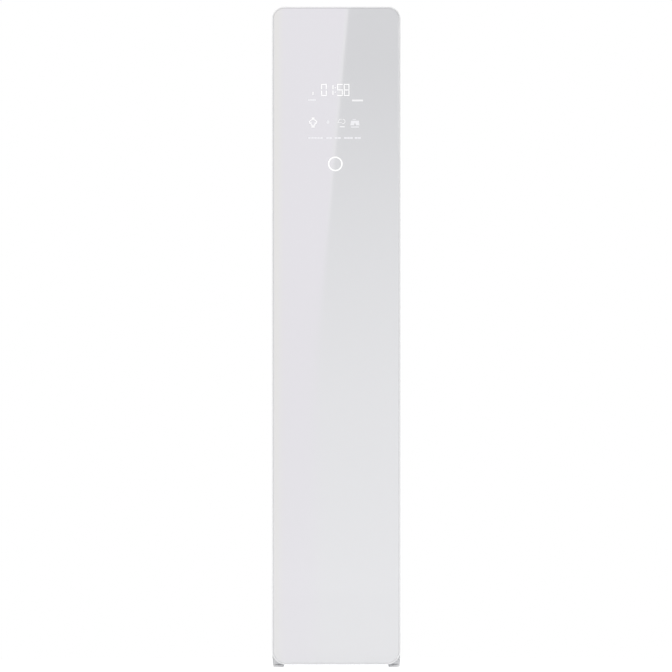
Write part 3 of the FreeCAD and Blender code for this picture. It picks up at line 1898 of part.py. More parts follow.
def hinges():
    """The two hinge brackets in the cabinet's face, their screws and the door's pins."""
    brackets = []
    screws = []
    pins = []
    for name, slot_z, reach in (("upper", "upper_slot_z", -1), ("lower", "lower_slot_z", 1)):
        middle = f"{name}_flange_z"
        sides = ("hinge_x - bracket_half_width", "hinge_x + bracket_half_width")
        flange = box(
            f"{name}_flange",
            sides,
            ("face_y", "face_y + bracket_thick"),
            (f"{middle} - bracket_flange / 2", f"{middle} + bracket_flange / 2"),
        )
        tongue_z = (f"{slot_z} - bracket_thick / 2", f"{slot_z} + bracket_thick / 2")
        tongue = box(f"{name}_tongue", sides, ("hinge_y", "face_y + 1"), tongue_z)
        nose = rod(f"{name}_nose", "z", ("hinge_x", "hinge_y"), tongue_z, "bracket_half_width")
        eye = rod(
            f"{name}_eye",
            "z",
            ("hinge_x", "hinge_y"),
            (f"{tongue_z[0]} - 1", f"{tongue_z[1]} + 1"),
            "hinge_pin_radius + run_gap",
        )
        cuts = [eye]
        for end in (-1, 1):
            at = ("hinge_x", f"{middle} + {end} * (bracket_flange / 2 - 7)")
            cuts.append(
                rod(
                    f"{name}_screw_hole_{end + 1}",
                    "y",
                    at,
                    ("face_y - 1", "face_y + bracket_thick + 1"),
                    "3.1",
                ),
            )
            screws.append(
                rod(f"{name}_screw_{end + 1}", "y", at, ("face_y", "face_y + bracket_thick"), "3"),
            )
        brackets.append(
            cut(f"{name}_bracket", fuse(f"{name}_bracket_solid", flange, tongue, nose), *cuts),
        )
        tip = f"{slot_z} + {reach} * (bracket_slot / 2 + hinge_bush_length - 1)"
        head = f"{slot_z} - {reach} * (bracket_thick / 2 + 1.6)"
        shaft_span, head_span = (
            (tip, head),
            (f"{slot_z} + bracket_thick / 2", head),
        ) if reach < 0 else ((head, tip), (head, f"{slot_z} - bracket_thick / 2"))
        shaft = rod(
            f"{name}_pin_shaft",
            "z",
            ("hinge_x", "hinge_y"),
            shaft_span,
            "hinge_pin_radius",
        )
        cap = rod(
            f"{name}_pin_head",
            "z",
            ("hinge_x", "hinge_y"),
            head_span,
            "hinge_pin_radius + 2.5",
        )
        pins.append(fuse(f"{name}_pin", shaft, cap))
    subpart(group("hinge_brackets", *brackets))
    subpart(group("hinge_screws", *screws))
    subpart(group("hinge_pins", *pins))


SEGMENTS = {
    "0": "abcdef",
    "1": "bc",
    "5": "afgcd",
    "8": "abcdefg",
}


def display():
    """The lit figures, bars and touch ring printed on the face of the glass."""
    depth = ("glass_front_y - ink_thick", "glass_front_y")
    width, half, stroke = "digit_width / 2", "digit_height / 2", "digit_stroke"
    ends = {
        "a": ((f"-{width}", width), (f"{half} - {stroke}", half)),
        "g": ((f"-{width}", width), (f"-{stroke} / 2", f"{stroke} / 2")),
        "d": ((f"-{width}", width), (f"-{half}", f"-{half} + {stroke}")),
        "b": ((f"{width} - {stroke}", width), (f"{stroke} / 2 + 0.6", f"{half} - {stroke} - 0.6")),
        "c": (
            (f"{width} - {stroke}", width),
            (f"-{half} + {stroke} + 0.6", f"-{stroke} / 2 - 0.6"),
        ),
        "e": (
            (f"-{width}", f"-{width} + {stroke}"),
            (f"-{half} + {stroke} + 0.6", f"-{stroke} / 2 - 0.6"),
        ),
        "f": (
            (f"-{width}", f"-{width} + {stroke}"),
            (f"{stroke} / 2 + 0.6", f"{half} - {stroke} - 0.6"),
        ),
    }
    lit = []
    for pair, place, figure in ((-1, -1, "0"), (-1, 1, "1"), (1, -1, "5"), (1, 1, "8")):
        x = f"clock_x + {pair} * pair_offset + {place} * digit_pitch / 2"
        for name in SEGMENTS[figure]:
            (left, right), (low, high) = ends[name]
            lit.append(
                box(
                    f"segment_{figure}_{name}",
                    (f"{x} + {left}", f"{x} + {right}"),
                    depth,
                    (f"digit_middle + {low}", f"digit_middle + {high}"),
                ),
            )
    for side in (-1, 1):
        z = f"digit_middle + {side} * 6"
        lit.append(
            box(
                f"colon_{side + 1}",
                (f"clock_x - {stroke} / 2", f"clock_x + {stroke} / 2"),
                depth,
                (f"{z} - {stroke} / 2", f"{z} + {stroke} / 2"),
            ),
        )
    outer = rod("touch_outer", "y", ("clock_x", "ring_middle"), depth, "ring_radius")
    hole = rod(
        "touch_hole",
        "y",
        ("clock_x", "ring_middle"),
        ("glass_front_y - ink_thick - 1", "glass_front_y + 1"),
        "ring_radius - ring_stroke",
    )
    lit.append(cut("touch_ring", outer, hole))
    subpart(group("display_symbols", *lit))


cabinet_shell()
cabin()
shaking_rail()
hanger("hanger_a", -1)
hanger("hanger_b", 1)
machine_room()
tank("supply_tank", -1)
tank("drain_tank", 1)
door()
hinges()
display()
doc.recompute()

for thing in doc.Objects:
    if "Invalid" in thing.State or "Error" in thing.State:
        raise RuntimeError(f"{thing.Name} did not recompute: {thing.State}")
for thing in subparts:
    if thing.Shape.isNull() or not thing.Shape.isValid() or not thing.Shape.Solids:
        raise RuntimeError(f"{thing.Label} has no valid solid")

os.makedirs("parts", exist_ok=True)
for thing in subparts:
    thing.Shape.exportStep(f"parts/{thing.Label}.step")
    print(thing.Label, len(thing.Shape.Solids), round(thing.Shape.Volume / 1000, 1))
print(len(subparts), "sub-parts")
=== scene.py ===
import json
import logging
import math
import random
from dataclasses import dataclass, replace
from enum import Enum
from typing import Callable, Iterable, Sequence

import bmesh
import bpy
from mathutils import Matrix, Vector


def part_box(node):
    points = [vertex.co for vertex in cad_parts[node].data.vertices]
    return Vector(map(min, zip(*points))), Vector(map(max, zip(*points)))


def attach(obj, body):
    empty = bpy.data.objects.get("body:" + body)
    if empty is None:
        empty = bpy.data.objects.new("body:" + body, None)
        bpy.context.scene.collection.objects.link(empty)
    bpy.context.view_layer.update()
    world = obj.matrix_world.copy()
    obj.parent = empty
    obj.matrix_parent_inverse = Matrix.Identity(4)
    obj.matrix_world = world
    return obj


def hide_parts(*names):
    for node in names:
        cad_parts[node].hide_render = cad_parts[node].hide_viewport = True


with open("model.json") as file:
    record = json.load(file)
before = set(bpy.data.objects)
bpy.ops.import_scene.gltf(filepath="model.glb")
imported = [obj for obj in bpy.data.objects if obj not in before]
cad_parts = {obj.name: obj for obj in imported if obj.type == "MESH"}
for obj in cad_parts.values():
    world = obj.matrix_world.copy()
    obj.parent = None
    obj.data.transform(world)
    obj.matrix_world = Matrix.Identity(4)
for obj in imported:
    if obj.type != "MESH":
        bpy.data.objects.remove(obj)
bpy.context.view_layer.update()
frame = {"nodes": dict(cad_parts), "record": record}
LOG = logging.getLogger("steam_closet")
Point = tuple[float, float, float]
Flat = tuple[float, float]
Colour = tuple[float, float, float]
Socket = bpy.types.NodeSocket
Mesh = bpy.types.Mesh
WHITE = (1.0, 1.0, 1.0)
SMOOTH_ANGLE = 35.0
WELD = 0.00002


class Grain(Enum):
    """The fine relief of a surface."""

    SMOOTH = "smooth"
    MOULDED = "moulded"
    ORANGE_PEEL = "orange_peel"
    BRUSHED_X = "brushed_x"
    BRUSHED_Z = "brushed_z"
    SPANGLE = "spangle"
    CELLS = "cells"
    WOVEN = "woven"


class Plane(Enum):
    """The way that a flat drawing faces. The value is the axis across it."""

    SIDE = 0
    FRONT = 1
    TOP = 2


class Net:
    """A shader node tree that is being wired."""

    def __init__(self, tree: bpy.types.NodeTree) -> None:
        """Take the tree to work in."""
        self.tree = tree

    def add(self, kind: str, inputs: dict | None = None, **settings: object) -> bpy.types.Node:
        """Add one node.

        Args:
            kind: the node's type, without its ShaderNode prefix.
            inputs: socket name or number to a value, or to an output socket that is linked in.
            settings: attributes of the node itself.

        Returns:
            The new node.
        """
        node = self.tree.nodes.new("ShaderNode" + kind)
        for name, value in settings.items():
            setattr(node, name, value)
        for name, value in (inputs or {}).items():
            self.feed(node.inputs[name], value)
        return node

    def feed(self, socket: Socket, value: object) -> None:
        """Give a socket a value, or link an output socket to it.

        Args:
            socket: the socket.
            value: the value or the output socket.
        """
        if isinstance(value, Socket):
            self.tree.links.new(value, socket)
        elif socket.type == "RGBA" and len(value) == 3:
            socket.default_value = (*value, 1.0)
        else:
            socket.default_value = value

    def math(self, operation: str, a: object, b: object = 0.0) -> Socket:
        """One step of arithmetic on numbers or sockets."""
        return self.add("Math", {0: a, 1: b}, operation=operation).outputs[0]

    def mix(self, factor: object, a: object, b: object) -> Socket:
        """Mix two colours, so much of the second as the factor says."""
        return self.add("Mix", {0: factor, 6: a, 7: b}, data_type="RGBA").outputs[2]

    def levels(
        self, value: Socket, low: object, high: object, to_low: float = 0.0, to_high: float = 1.0,
        **settings: object,
    ) -> Socket:
        """Stretch a range of values to another range.

        Args:
            value: the socket to stretch.
            low: the value that becomes to_low.
            high: the value that becomes to_high.
            to_low: start of the new range.
            to_high: end of the new range.
            settings: attributes of the node itself.

        Returns:
            The stretched value's socket, kept within the new range.
        """
        ends = {"From Min": low, "From Max": high, "To Min": to_low, "To Max": to_high}
        return self.add("MapRange", {"Value": value, **ends}, **settings).outputs["Result"]

    def place(self) -> Socket:
        """The coordinates of the piece itself."""
        return self.add("TexCoord").outputs["Object"]

    def noise(self, scale: object, detail: float, place: Socket | None = None) -> Socket:
        """Clouds of noise.

        Args:
            scale: the size of the clouds.
            detail: how many finer layers they have.
            place: the coordinates, or the piece's own.

        Returns:
            The noise's socket.
        """
        sockets = {"Vector": place or self.place(), "Scale": scale, "Detail": detail}
        return self.add("TexNoise", sockets).outputs[0]

    def group(self, tree: bpy.types.NodeTree, **values: object) -> bpy.types.NodeOutputs:
        """Place a node group with its own values, and give its outputs."""
        return self.add("Group", values, node_tree=tree).outputs

    def seen(self) -> Socket:
        """A mask of the rays that show the studio: the camera's, mirrored and passed ones.

        Returns:
            The mask's socket.
        """
        rays = self.add("LightPath").outputs
        straight = self.math("MAXIMUM", rays["Is Camera Ray"], rays["Is Glossy Ray"])
        return self.math("MAXIMUM", straight, rays["Is Transmission Ray"])

    def show(self, shader: bpy.types.Node, output: str = "OutputMaterial") -> None:
        """Link a shader to the tree's output."""
        self.feed(self.add(output).inputs["Surface"], shader.outputs[0])


def fresh_net(owner: bpy.types.Material | bpy.types.World) -> Net:
    """Empty the node tree of a material or a world, to wire it anew.

    Args:
        owner: the material or the world.

    Returns:
        Its net.
    """
    owner.use_nodes = True
    owner.node_tree.nodes.clear()
    return Net(owner.node_tree)


def node_group(name: str, takes: dict, gives: dict, wire: Callable) -> bpy.types.NodeTree:
    """Build a shader node group once.

    Args:
        name: the group's name.
        takes: the name of each input socket, to its value at the start.
        gives: the name of each output socket, to its kind.
        wire: wires the group's nodes; it gets the net and the inputs, and gives the outputs.

    Returns:
        The group's node tree.
    """
    tree = bpy.data.node_groups.get(name)
    if tree:
        return tree
    tree = bpy.data.node_groups.new(name, "ShaderNodeTree")
    for socket_name, default in takes.items():
        kind = "NodeSocketColor" if isinstance(default, tuple) else "NodeSocketFloat"
        socket = tree.interface.new_socket(socket_name, in_out="INPUT", socket_type=kind)
        socket.default_value = (*default, 1.0) if isinstance(default, tuple) else default
    for socket_name, kind in gives.items():
        tree.interface.new_socket(socket_name, in_out="OUTPUT", socket_type=kind)
    net = Net(tree)
    entry = tree.nodes.new("NodeGroupInput")
    leaving = tree.nodes.new("NodeGroupOutput")
    for socket_name, socket in wire(net, entry.outputs).items():
        net.feed(leaving.inputs[socket_name], socket)
    return tree


def mottle_group() -> bpy.types.NodeTree:
    """The group for slow changes of tone and gloss over a surface.

    Returns:
        The group's node tree.
    """

    def wire(net: Net, given: dict) -> dict:
        """Wire a wide and a fine noise into the tone and the gloss.

        Args:
            net: the group's net.
            given: the group's inputs.

        Returns:
            The name of each output to its socket.
        """
        wide = net.noise(given["Scale"], 4.0)
        fine = net.noise(net.math("MULTIPLY", given["Scale"], 11.0), 2.0)
        blend = net.math("ADD", net.math("MULTIPLY", wide, 0.7), net.math("MULTIPLY", fine, 0.3))
        swing = net.math("MULTIPLY", net.math("SUBTRACT", blend, 0.5), given["Amount"])
        tone = {"Value": net.math("ADD", swing, 1.0), "Color": given["Colour"]}
        gloss = net.math("ADD", net.math("MULTIPLY", swing, 2.0), 1.0)
        return {
            "Colour": net.add("HueSaturation", tone).outputs[0],
            "Roughness": net.math("MULTIPLY", given["Roughness"], gloss),
        }

    takes = {"Colour": (0.8, 0.8, 0.8), "Amount": 0.05, "Scale": 6.0, "Roughness": 0.4}
    gives = {"Colour": "NodeSocketColor", "Roughness": "NodeSocketFloat"}
    return node_group("mottle", takes, gives, wire)


def dust_group() -> bpy.types.NodeTree:
    """The group for dust that settles on what faces up.

    Returns:
        The group's node tree.
    """

    def wire(net: Net, given: dict) -> dict:
        """Wire the specks that lie on upward faces.

        Args:
            net: the group's net.
            given: the group's inputs.

        Returns:
            The name of each output to its socket.
        """
        facing = net.add("SeparateXYZ", {0: net.add("NewGeometry").outputs["Normal"]}).outputs["Z"]
        specks = net.levels(net.noise(70.0, 5.0), 0.35, 0.75)
        mask = net.math("MULTIPLY", net.levels(facing, 0.5, 1.0), specks)
        return {"Mask": net.math("MULTIPLY", mask, given["Amount"])}

    return node_group("settled_dust", {"Amount": 0.1}, {"Mask": "NodeSocketFloat"}, wire)


def wear_group() -> bpy.types.NodeTree:
    """The group for rubbed edges.

    Returns:
        The group's node tree.
    """

    def wire(net: Net, given: dict) -> dict:
        """Wire the rubbed patches along the edges.

        Args:
            net: the group's net.
            given: the group's inputs.

        Returns:
            The name of each output to its socket.
        """
        edge = net.levels(net.add("NewGeometry").outputs["Pointiness"], 0.52, 0.6)
        mask = net.math("MULTIPLY", edge, net.levels(net.noise(40.0, 4.0), 0.3, 0.7))
        return {"Mask": net.math("MULTIPLY", mask, given["Amount"])}

    return node_group("edge_wear", {"Amount": 0.3}, {"Mask": "NodeSocketFloat"}, wire)


def relief_group(grain: Grain) -> bpy.types.NodeTree:
    """The group for the fine relief of one kind of surface.

    Args:
        grain: the kind of surface.

    Returns:
        The group's node tree.
    """

    def wire(net: Net, given: dict) -> dict:
        """Wire the height of this grain.

        Args:
            net: the group's net.
            given: the group's inputs.

        Returns:
            The name of each output to its socket.
        """
        place, scale = net.place(), given["Scale"]
        if grain in (Grain.BRUSHED_X, Grain.BRUSHED_Z):
            stretch = (0.02, 1.0, 1.0) if grain is Grain.BRUSHED_X else (1.0, 1.0, 0.02)
            drawn_out = net.add("Mapping", {"Vector": place, "Scale": stretch}).outputs[0]
            return {"Height": net.noise(scale, 3.0, drawn_out)}
        if grain is Grain.ORANGE_PEEL:
            return {"Height": net.noise(scale, 1.0, place)}
        if grain is Grain.WOVEN:
            parts = net.add("SeparateXYZ", {0: place}).outputs
            waves = [net.math("SINE", net.math("MULTIPLY", parts[way], scale)) for way in "XY"]
            return {"Height": net.math("MAXIMUM", *waves)}
        feature = "F1" if grain in (Grain.SPANGLE, Grain.CELLS) else "SMOOTH_F1"
        cells = net.add("TexVoronoi", {"Vector": place, "Scale": scale}, feature=feature)
        return {"Height": cells.outputs["Distance"]}

    name = "relief_" + grain.value
    return node_group(name, {"Scale": 400.0}, {"Height": "NodeSocketFloat"}, wire)


@dataclass(frozen=True)
class Finish:
    """One finish of the closet, as its maker would write it down.

    Colours are linear. Grain scale is per metre, grain depth and edge radius are in metres.
    """

    name: str
    colour: Colour
    roughness: float = 0.45
    metallic: float = 0.0
    grain: Grain = Grain.MOULDED
    grain_scale: float = 900.0
    grain_depth: float = 0.00004
    mottle: float = 0.05
    mottle_scale: float = 6.0
    wear: float = 0.0
    worn_colour: Colour = (0.6, 0.6, 0.6)
    dust: float = 0.0
    dust_colour: Colour = (0.5, 0.48, 0.45)
    edge_radius: float = 0.0004
    specular: float = 0.5
    coat: float = 0.0
    coat_roughness: float = 0.03
    transmission: float = 0.0
    ior: float = 1.5
    sheen: float = 0.0
    emission: float = 0.0
    emission_colour: Colour = WHITE

    def material(self) -> bpy.types.Material:
        """Build the material once.

        Returns:
            The material of this finish.
        """
        name = "look_" + self.name
        made = bpy.data.materials.get(name)
        if made:
            return made
        made = bpy.data.materials.new(name)
        made.diffuse_color = (*self.colour, 1.0)
        net = fresh_net(made)
        colour, roughness = self.tones(net)
        sockets = {
            "Metallic": self.metallic,
            "IOR": self.ior,
            "Specular IOR Level": self.specular,
            "Coat Weight": self.coat,
            "Coat Roughness": self.coat_roughness,
            "Transmission Weight": self.transmission,
            "Sheen Weight": self.sheen,
            "Base Color": colour,
            "Roughness": roughness,
            "Normal": self.relief(net),
        }
        if self.emission:
            sockets["Emission Strength"] = self.emission
            sockets["Emission Color"] = self.emission_colour
        net.show(net.add("BsdfPrincipled", sockets))
        return made

    def tones(self, net: Net) -> tuple[Socket, Socket]:
        """Wire the colour and the roughness.

        Args:
            net: the material's net.

        Returns:
            The sockets of the colour and of the roughness.
        """
        mottled = net.group(
            mottle_group(), Colour=self.colour, Amount=self.mottle, Scale=self.mottle_scale,
            Roughness=self.roughness,
        )
        colour = mottled["Colour"]
        for amount, group, over in (
            (self.wear, wear_group, self.worn_colour), (self.dust, dust_group, self.dust_colour),
        ):
            if amount:
                colour = net.mix(net.group(group(), Amount=amount)["Mask"], colour, over)
        return colour, mottled["Roughness"]

    def relief(self, net: Net) -> Socket:
        """Wire the rounded edges and the grain.

        Args:
            net: the material's net.

        Returns:
            The normal's socket.
        """
        rounded = net.add("Bevel", {"Radius": self.edge_radius}, samples=4).outputs[0]
        if self.grain is Grain.SMOOTH:
            return rounded
        height = net.group(relief_group(self.grain), Scale=self.grain_scale)["Height"]
        sockets = {"Height": height, "Distance": self.grain_depth, "Normal": rounded}
        return net.add("Bump", sockets).outputs[0]


class Finishes:
    """Every finish of the closet."""

    glass = Finish(
        "coated_glass", (0.648, 0.650, 0.668), roughness=0.028, grain=Grain.SMOOTH, mottle=0.004,
        mottle_scale=1.5, specular=1.0, coat=1.0, coat_roughness=0.02, edge_radius=0.0002,
    )
    edge = Finish(
        "edge_metal", (0.73, 0.735, 0.745), roughness=0.2, grain=Grain.BRUSHED_Z,
        grain_scale=2500.0, grain_depth=0.000004, mottle=0.02, specular=1.0, coat=0.4,
        coat_roughness=0.1, edge_radius=0.0005,
    )
    casing = Finish(
        "painted_casing", (0.66, 0.665, 0.68), roughness=0.42, grain=Grain.ORANGE_PEEL,
        grain_scale=420.0, grain_depth=0.00006, mottle=0.02, dust=0.05, edge_radius=0.0006,
    )
    frame_plastic = Finish("frame_plastic", (0.70, 0.705, 0.72), roughness=0.5, mottle=0.03)
    galvanised = Finish(
        "galvanised_sheet", (0.56, 0.57, 0.59), roughness=0.42, metallic=0.9, grain=Grain.SPANGLE,
        grain_scale=90.0, grain_depth=0.00003, mottle=0.16, mottle_scale=30.0, dust=0.1,
    )
    screw = Finish(
        "zinc_screw", (0.62, 0.62, 0.63), roughness=0.3, metallic=1.0, grain=Grain.SMOOTH,
        mottle=0.1, wear=0.3,
    )
    black = Finish("black_plastic", (0.03, 0.03, 0.032), roughness=0.5, dust=0.12)
    foot = Finish("foot_plastic", (0.84, 0.84, 0.845), roughness=0.5, mottle=0.04, wear=0.2)
    liner = Finish(
        "liner_plastic", (0.70, 0.715, 0.73), roughness=0.32, grain=Grain.ORANGE_PEEL,
        grain_scale=260.0, grain_depth=0.00005, mottle=0.015, mottle_scale=3.0,
    )
    door_liner = replace(
        liner, name="door_liner_plastic", colour=(0.68, 0.69, 0.705), roughness=0.3,
    )
    floor = Finish("floor_plastic", (0.48, 0.49, 0.51), roughness=0.5, mottle=0.04)
    foam = Finish(
        "rigid_foam", (0.72, 0.62, 0.40), roughness=0.9, grain=Grain.CELLS, grain_scale=500.0,
        grain_depth=0.0004, mottle=0.15,
    )
    lamp = Finish(
        "lamp_diffuser", (0.85, 0.85, 0.83), roughness=0.5, emission=0.5,
        emission_colour=(1.0, 0.97, 0.9),
    )
    grille = Finish("grille_plastic", (0.10, 0.105, 0.11), roughness=0.55, dust=0.1)
    stainless = Finish(
        "stainless_steel", (0.62, 0.62, 0.63), roughness=0.28, metallic=1.0,
        grain=Grain.BRUSHED_X, grain_scale=1800.0, grain_depth=0.00001,
    )
    filter = Finish("filter_plastic", (0.33, 0.40, 0.47))
    mesh = Finish(
        "filter_mesh", (0.06, 0.065, 0.07), roughness=0.7, grain=Grain.WOVEN, grain_scale=5000.0,
        grain_depth=0.0003,
    )
    cartridge = Finish("cartridge_plastic", (0.52, 0.60, 0.68), roughness=0.25, coat=0.3)
    wire = Finish(
        "coated_wire", (0.66, 0.665, 0.67), roughness=0.35, grain=Grain.ORANGE_PEEL,
        grain_scale=500.0, wear=0.15,
    )
    drive = Finish(
        "drive_steel", (0.5, 0.51, 0.52), roughness=0.4, metallic=0.9, grain=Grain.SPANGLE,
        grain_scale=120.0, mottle=0.1,
    )
    ground = Finish(
        "ground_steel", (0.62, 0.62, 0.62), roughness=0.14, metallic=1.0, grain=Grain.BRUSHED_X,
        grain_scale=3000.0, grain_depth=0.000005,
    )
    motor = Finish(
        "motor_enamel", (0.05, 0.05, 0.055), roughness=0.35, grain=Grain.ORANGE_PEEL, dust=0.15,
    )
    rail = Finish(
        "rail_plastic", (0.22, 0.225, 0.235), roughness=0.38, wear=0.2, worn_colour=(0.4,) * 3,
    )
    hanger = Finish("hanger_plastic", (0.055, 0.058, 0.065), roughness=0.42, sheen=0.1)
    hook = Finish(
        "hook_steel", (0.58, 0.58, 0.59), roughness=0.2, metallic=1.0, grain=Grain.BRUSHED_Z,
        grain_scale=2500.0, grain_depth=0.000005,
    )
    duct = Finish("duct_plastic", (0.05, 0.052, 0.055), roughness=0.6, dust=0.2)
    fins = Finish(
        "fin_aluminium", (0.66, 0.67, 0.68), roughness=0.35, metallic=1.0, grain=Grain.BRUSHED_Z,
        mottle=0.1,
    )
    rubber = Finish(
        "grommet_rubber", (0.02, 0.02, 0.02), roughness=0.75, grain_scale=600.0, dust=0.2,
    )
    compressor = Finish(
        "compressor_enamel", (0.012, 0.012, 0.013), roughness=0.22, grain=Grain.ORANGE_PEEL,
        grain_scale=150.0, grain_depth=0.0002, dust=0.2,
    )
    cast = Finish(
        "cast_aluminium", (0.52, 0.53, 0.54), roughness=0.5, metallic=1.0, grain=Grain.CELLS,
        grain_scale=700.0, grain_depth=0.0001,
    )
    pump = Finish("pump_plastic", (0.035, 0.036, 0.04), roughness=0.4)
    silicone = Finish(
        "silicone_hose", (0.60, 0.60, 0.57), transmission=0.15, grain=Grain.SMOOTH,
    )
    copper = Finish(
        "copper_pipe", (0.72, 0.36, 0.21), roughness=0.3, metallic=1.0, grain=Grain.BRUSHED_X,
        mottle=0.25, mottle_scale=20.0,
    )
    board = Finish(
        "circuit_board", (0.01, 0.09, 0.035), roughness=0.35, grain=Grain.CELLS,
        grain_scale=260.0, grain_depth=0.0001, coat=0.3,
    )
    tank = Finish(
        "tank_plastic", (0.62, 0.70, 0.76), roughness=0.16, transmission=0.55, ior=1.49,
        grain=Grain.ORANGE_PEEL, grain_scale=160.0, mottle=0.01,
    )
    lid = Finish("lid_plastic", (0.20, 0.22, 0.25), roughness=0.42)
    gasket = Finish(
        "gasket_rubber", (0.33, 0.335, 0.345), roughness=0.6, grain_scale=1200.0, sheen=0.15,
    )
    cap = Finish("cap_plastic", (0.36, 0.37, 0.39), roughness=0.48)
    bush = Finish("bush_plastic", (0.75, 0.75, 0.72), roughness=0.35)
    glow = Finish(
        "display_light", (0.8, 0.8, 0.8), roughness=0.3, grain=Grain.CELLS, grain_scale=4000.0,
        grain_depth=0.00001, mottle=0.02, emission=0.16,
    )
    soft_glow = replace(
        glow, name="display_light_soft", colour=(0.76, 0.76, 0.77), emission=0.06,
    )
    faint_glow = replace(
        glow, name="display_light_faint", colour=(0.71, 0.71, 0.74), mottle=0.03, emission=0.065,
    )


NODE_FINISHES = {
    node: finish
    for finish, nodes in (
        (Finishes.galvanised, "back_panel base_pan hinge_brackets"),
        (Finishes.foot, "rear_feet front_foot_left front_foot_right"),
        (Finishes.black, "wall_spacers mains_gland control_box"),
        (Finishes.screw, "panel_screws hinge_screws"),
        (Finishes.foam, "insulation door_foam"),
        (Finishes.casing, "casing"),
        (Finishes.frame_plastic, "front_frame"),
        (Finishes.liner, "cabin_liner"),
        (Finishes.floor, "cabin_floor"),
        (Finishes.lamp, "cabin_lamp"),
        (Finishes.grille, "outlet_grille"),
        (Finishes.stainless, "steam_nozzle"),
        (Finishes.filter, "filter_frame fan_wheel"),
        (Finishes.mesh, "filter_mesh"),
        (Finishes.cartridge, "aroma_cartridge"),
        (Finishes.wire, "shelf_rack"),
        (Finishes.drive, "drive_housing rail_crank"),
        (Finishes.ground, "rail_guides hinge_pins"),
        (Finishes.motor, "rail_motor fan_motor"),
        (Finishes.rail, "rail_carriage hanger_rail"),
        (Finishes.hanger, "hanger_a hanger_b"),
        (Finishes.duct, "air_duct fan_scroll"),
        (Finishes.fins, "evaporator condenser"),
        (Finishes.rubber, "compressor_grommets"),
        (Finishes.compressor, "compressor"),
        (Finishes.cast, "steam_generator"),
        (Finishes.pump, "water_pumps tank_valves"),
        (Finishes.silicone, "hoses"),
        (Finishes.copper, "refrigerant_pipes"),
        (Finishes.board, "control_board display_board"),
        (Finishes.tank, "supply_tank drain_tank"),
        (Finishes.lid, "supply_tank_lid drain_tank_lid"),
        (Finishes.edge, "door_frame"),
        (Finishes.glass, "door_glass"),
        (Finishes.door_liner, "door_liner"),
        (Finishes.gasket, "door_gasket"),
        (Finishes.cap, "door_grip door_end_caps"),
        (Finishes.bush, "hinge_bushes"),
        (Finishes.glow, "display_symbols"),
    )
    for node in nodes.split()
}
BODIES = {
    node: body for body, nodes in frame["record"]["behaviour"]["bodies"].items() for node in nodes
}


def arc(u: float, v: float, radius: float, start: float, end: float, steps: int) -> list[Flat]:
    """The points of an arc, both ends among them.

    Args:
        u: its middle.
        v: the height of its middle.
        radius: its radius.
        start: the angle where it starts, in degrees.
        end: the angle where it ends, in degrees.
        steps: how many parts it has.

    Returns:
        The points.
    """
    turns = [math.radians(start + (end - start) * step / steps) for step in range(steps + 1)]
    return [(u + radius * math.cos(turn), v + radius * math.sin(turn)) for turn in turns]


def circle(u: float, v: float, radius: float, steps: int, shift: float = 0.0) -> list[Flat]:
    """The corners of a round outline.

    Args:
        u: its middle.
        v: the height of its middle.
        radius: its radius.
        steps: how many corners it has.
        shift: how far on it starts, as a share of a step.

    Returns:
        The corners.
    """
    turns = [2 * math.pi * (step + shift) / steps for step in range(steps)]
    return [(u + radius * math.cos(turn), v + radius * math.sin(turn)) for turn in turns]


def rounded_rectangle(
    half: float, low: float, high: float, radius: float, steps: int = 8, middle: float = 0.0
) -> list[Flat]:
    """The outline of a rectangle with rounded corners.

    Args:
        half: half of its width.
        low: its lower edge.
        high: its upper edge.
        radius: the radius of its corners.
        steps: how many parts each corner has.
        middle: the middle of its width.

    Returns:
        The corners of the outline, counter-clockwise from the lower right.
    """
    left, right = middle - half + radius, middle + half - radius
    low, high = low + radius, high - radius
    points = []
    for start, u, v in ((-90, right, low), (0, right, high), (90, left, high), (180, left, low)):
        points += arc(u, v, radius, start, start + 90, steps)
    return points


def spread(low: float, high: float, count: int) -> list[float]:
    """The middles of equal parts of a length."""
    return [low + (high - low) * (step + 0.5) / count for step in range(count)]


def lifted(points: Iterable[Flat], plane: Plane, level: float) -> list[Point]:
    """Set flat points in space, at a level across their plane."""
    axis = plane.value
    return [(*point[:axis], level, *point[axis:]) for point in points]


def extent(low: Sequence[float], high: Sequence[float]) -> tuple[Vector, Vector, Point]:
    """The lowest corner, the highest corner and the middle between them."""
    return low, high, tuple((a + b) / 2 for a, b in zip(low, high))


def room(node: str) -> tuple[Vector, Vector, Point]:
    """The lowest corner, the highest corner and the middle of a frame node."""
    return extent(*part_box(node))


def copy_of(node: str) -> bmesh.types.BMesh:
    """An editable copy of a frame node's mesh, with its seams closed.

    Args:
        node: the frame's node.

    Returns:
        The edited mesh.
    """
    shape = bmesh.new()
    shape.from_mesh(frame["nodes"][node].data)
    bmesh.ops.remove_doubles(shape, verts=shape.verts[:], dist=WELD)
    return shape


def islands(node: str) -> list[tuple[Vector, Vector, Point]]:
    """The boxes of the separate pieces of a frame node.

    Args:
        node: the frame's node.

    Returns:
        The extent of each, from left to right and upwards.
    """
    shape = copy_of(node)
    left, boxes = set(shape.verts), []
    while left:
        reach, corners = [left.pop()], []
        while reach:
            vertex = reach.pop()
            corners.append(vertex.co.copy())
            near = {edge.other_vert(vertex) for edge in vertex.link_edges} & left
            left -= near
            reach += near
        spans = [(min(axis), max(axis)) for axis in zip(*corners)]
        boxes.append(extent(*(Vector(ends) for ends in zip(*spans))))
    shape.free()
    return sorted(boxes, key=lambda box: (round(box[0].x, 3), round(box[0].z, 3), box[0].y))


def stand(name: str, data: bpy.types.ID) -> bpy.types.Object:
    """Put a mesh, a curve, a lamp or a camera in the scene.

    Args:
        name: the name that it gets.
        data: the mesh, the curve, the lamp or the camera.

    Returns:
        The object that holds it.
    """
    thing = bpy.data.objects.new(name, data)
    bpy.context.scene.collection.objects.link(thing)
    return thing


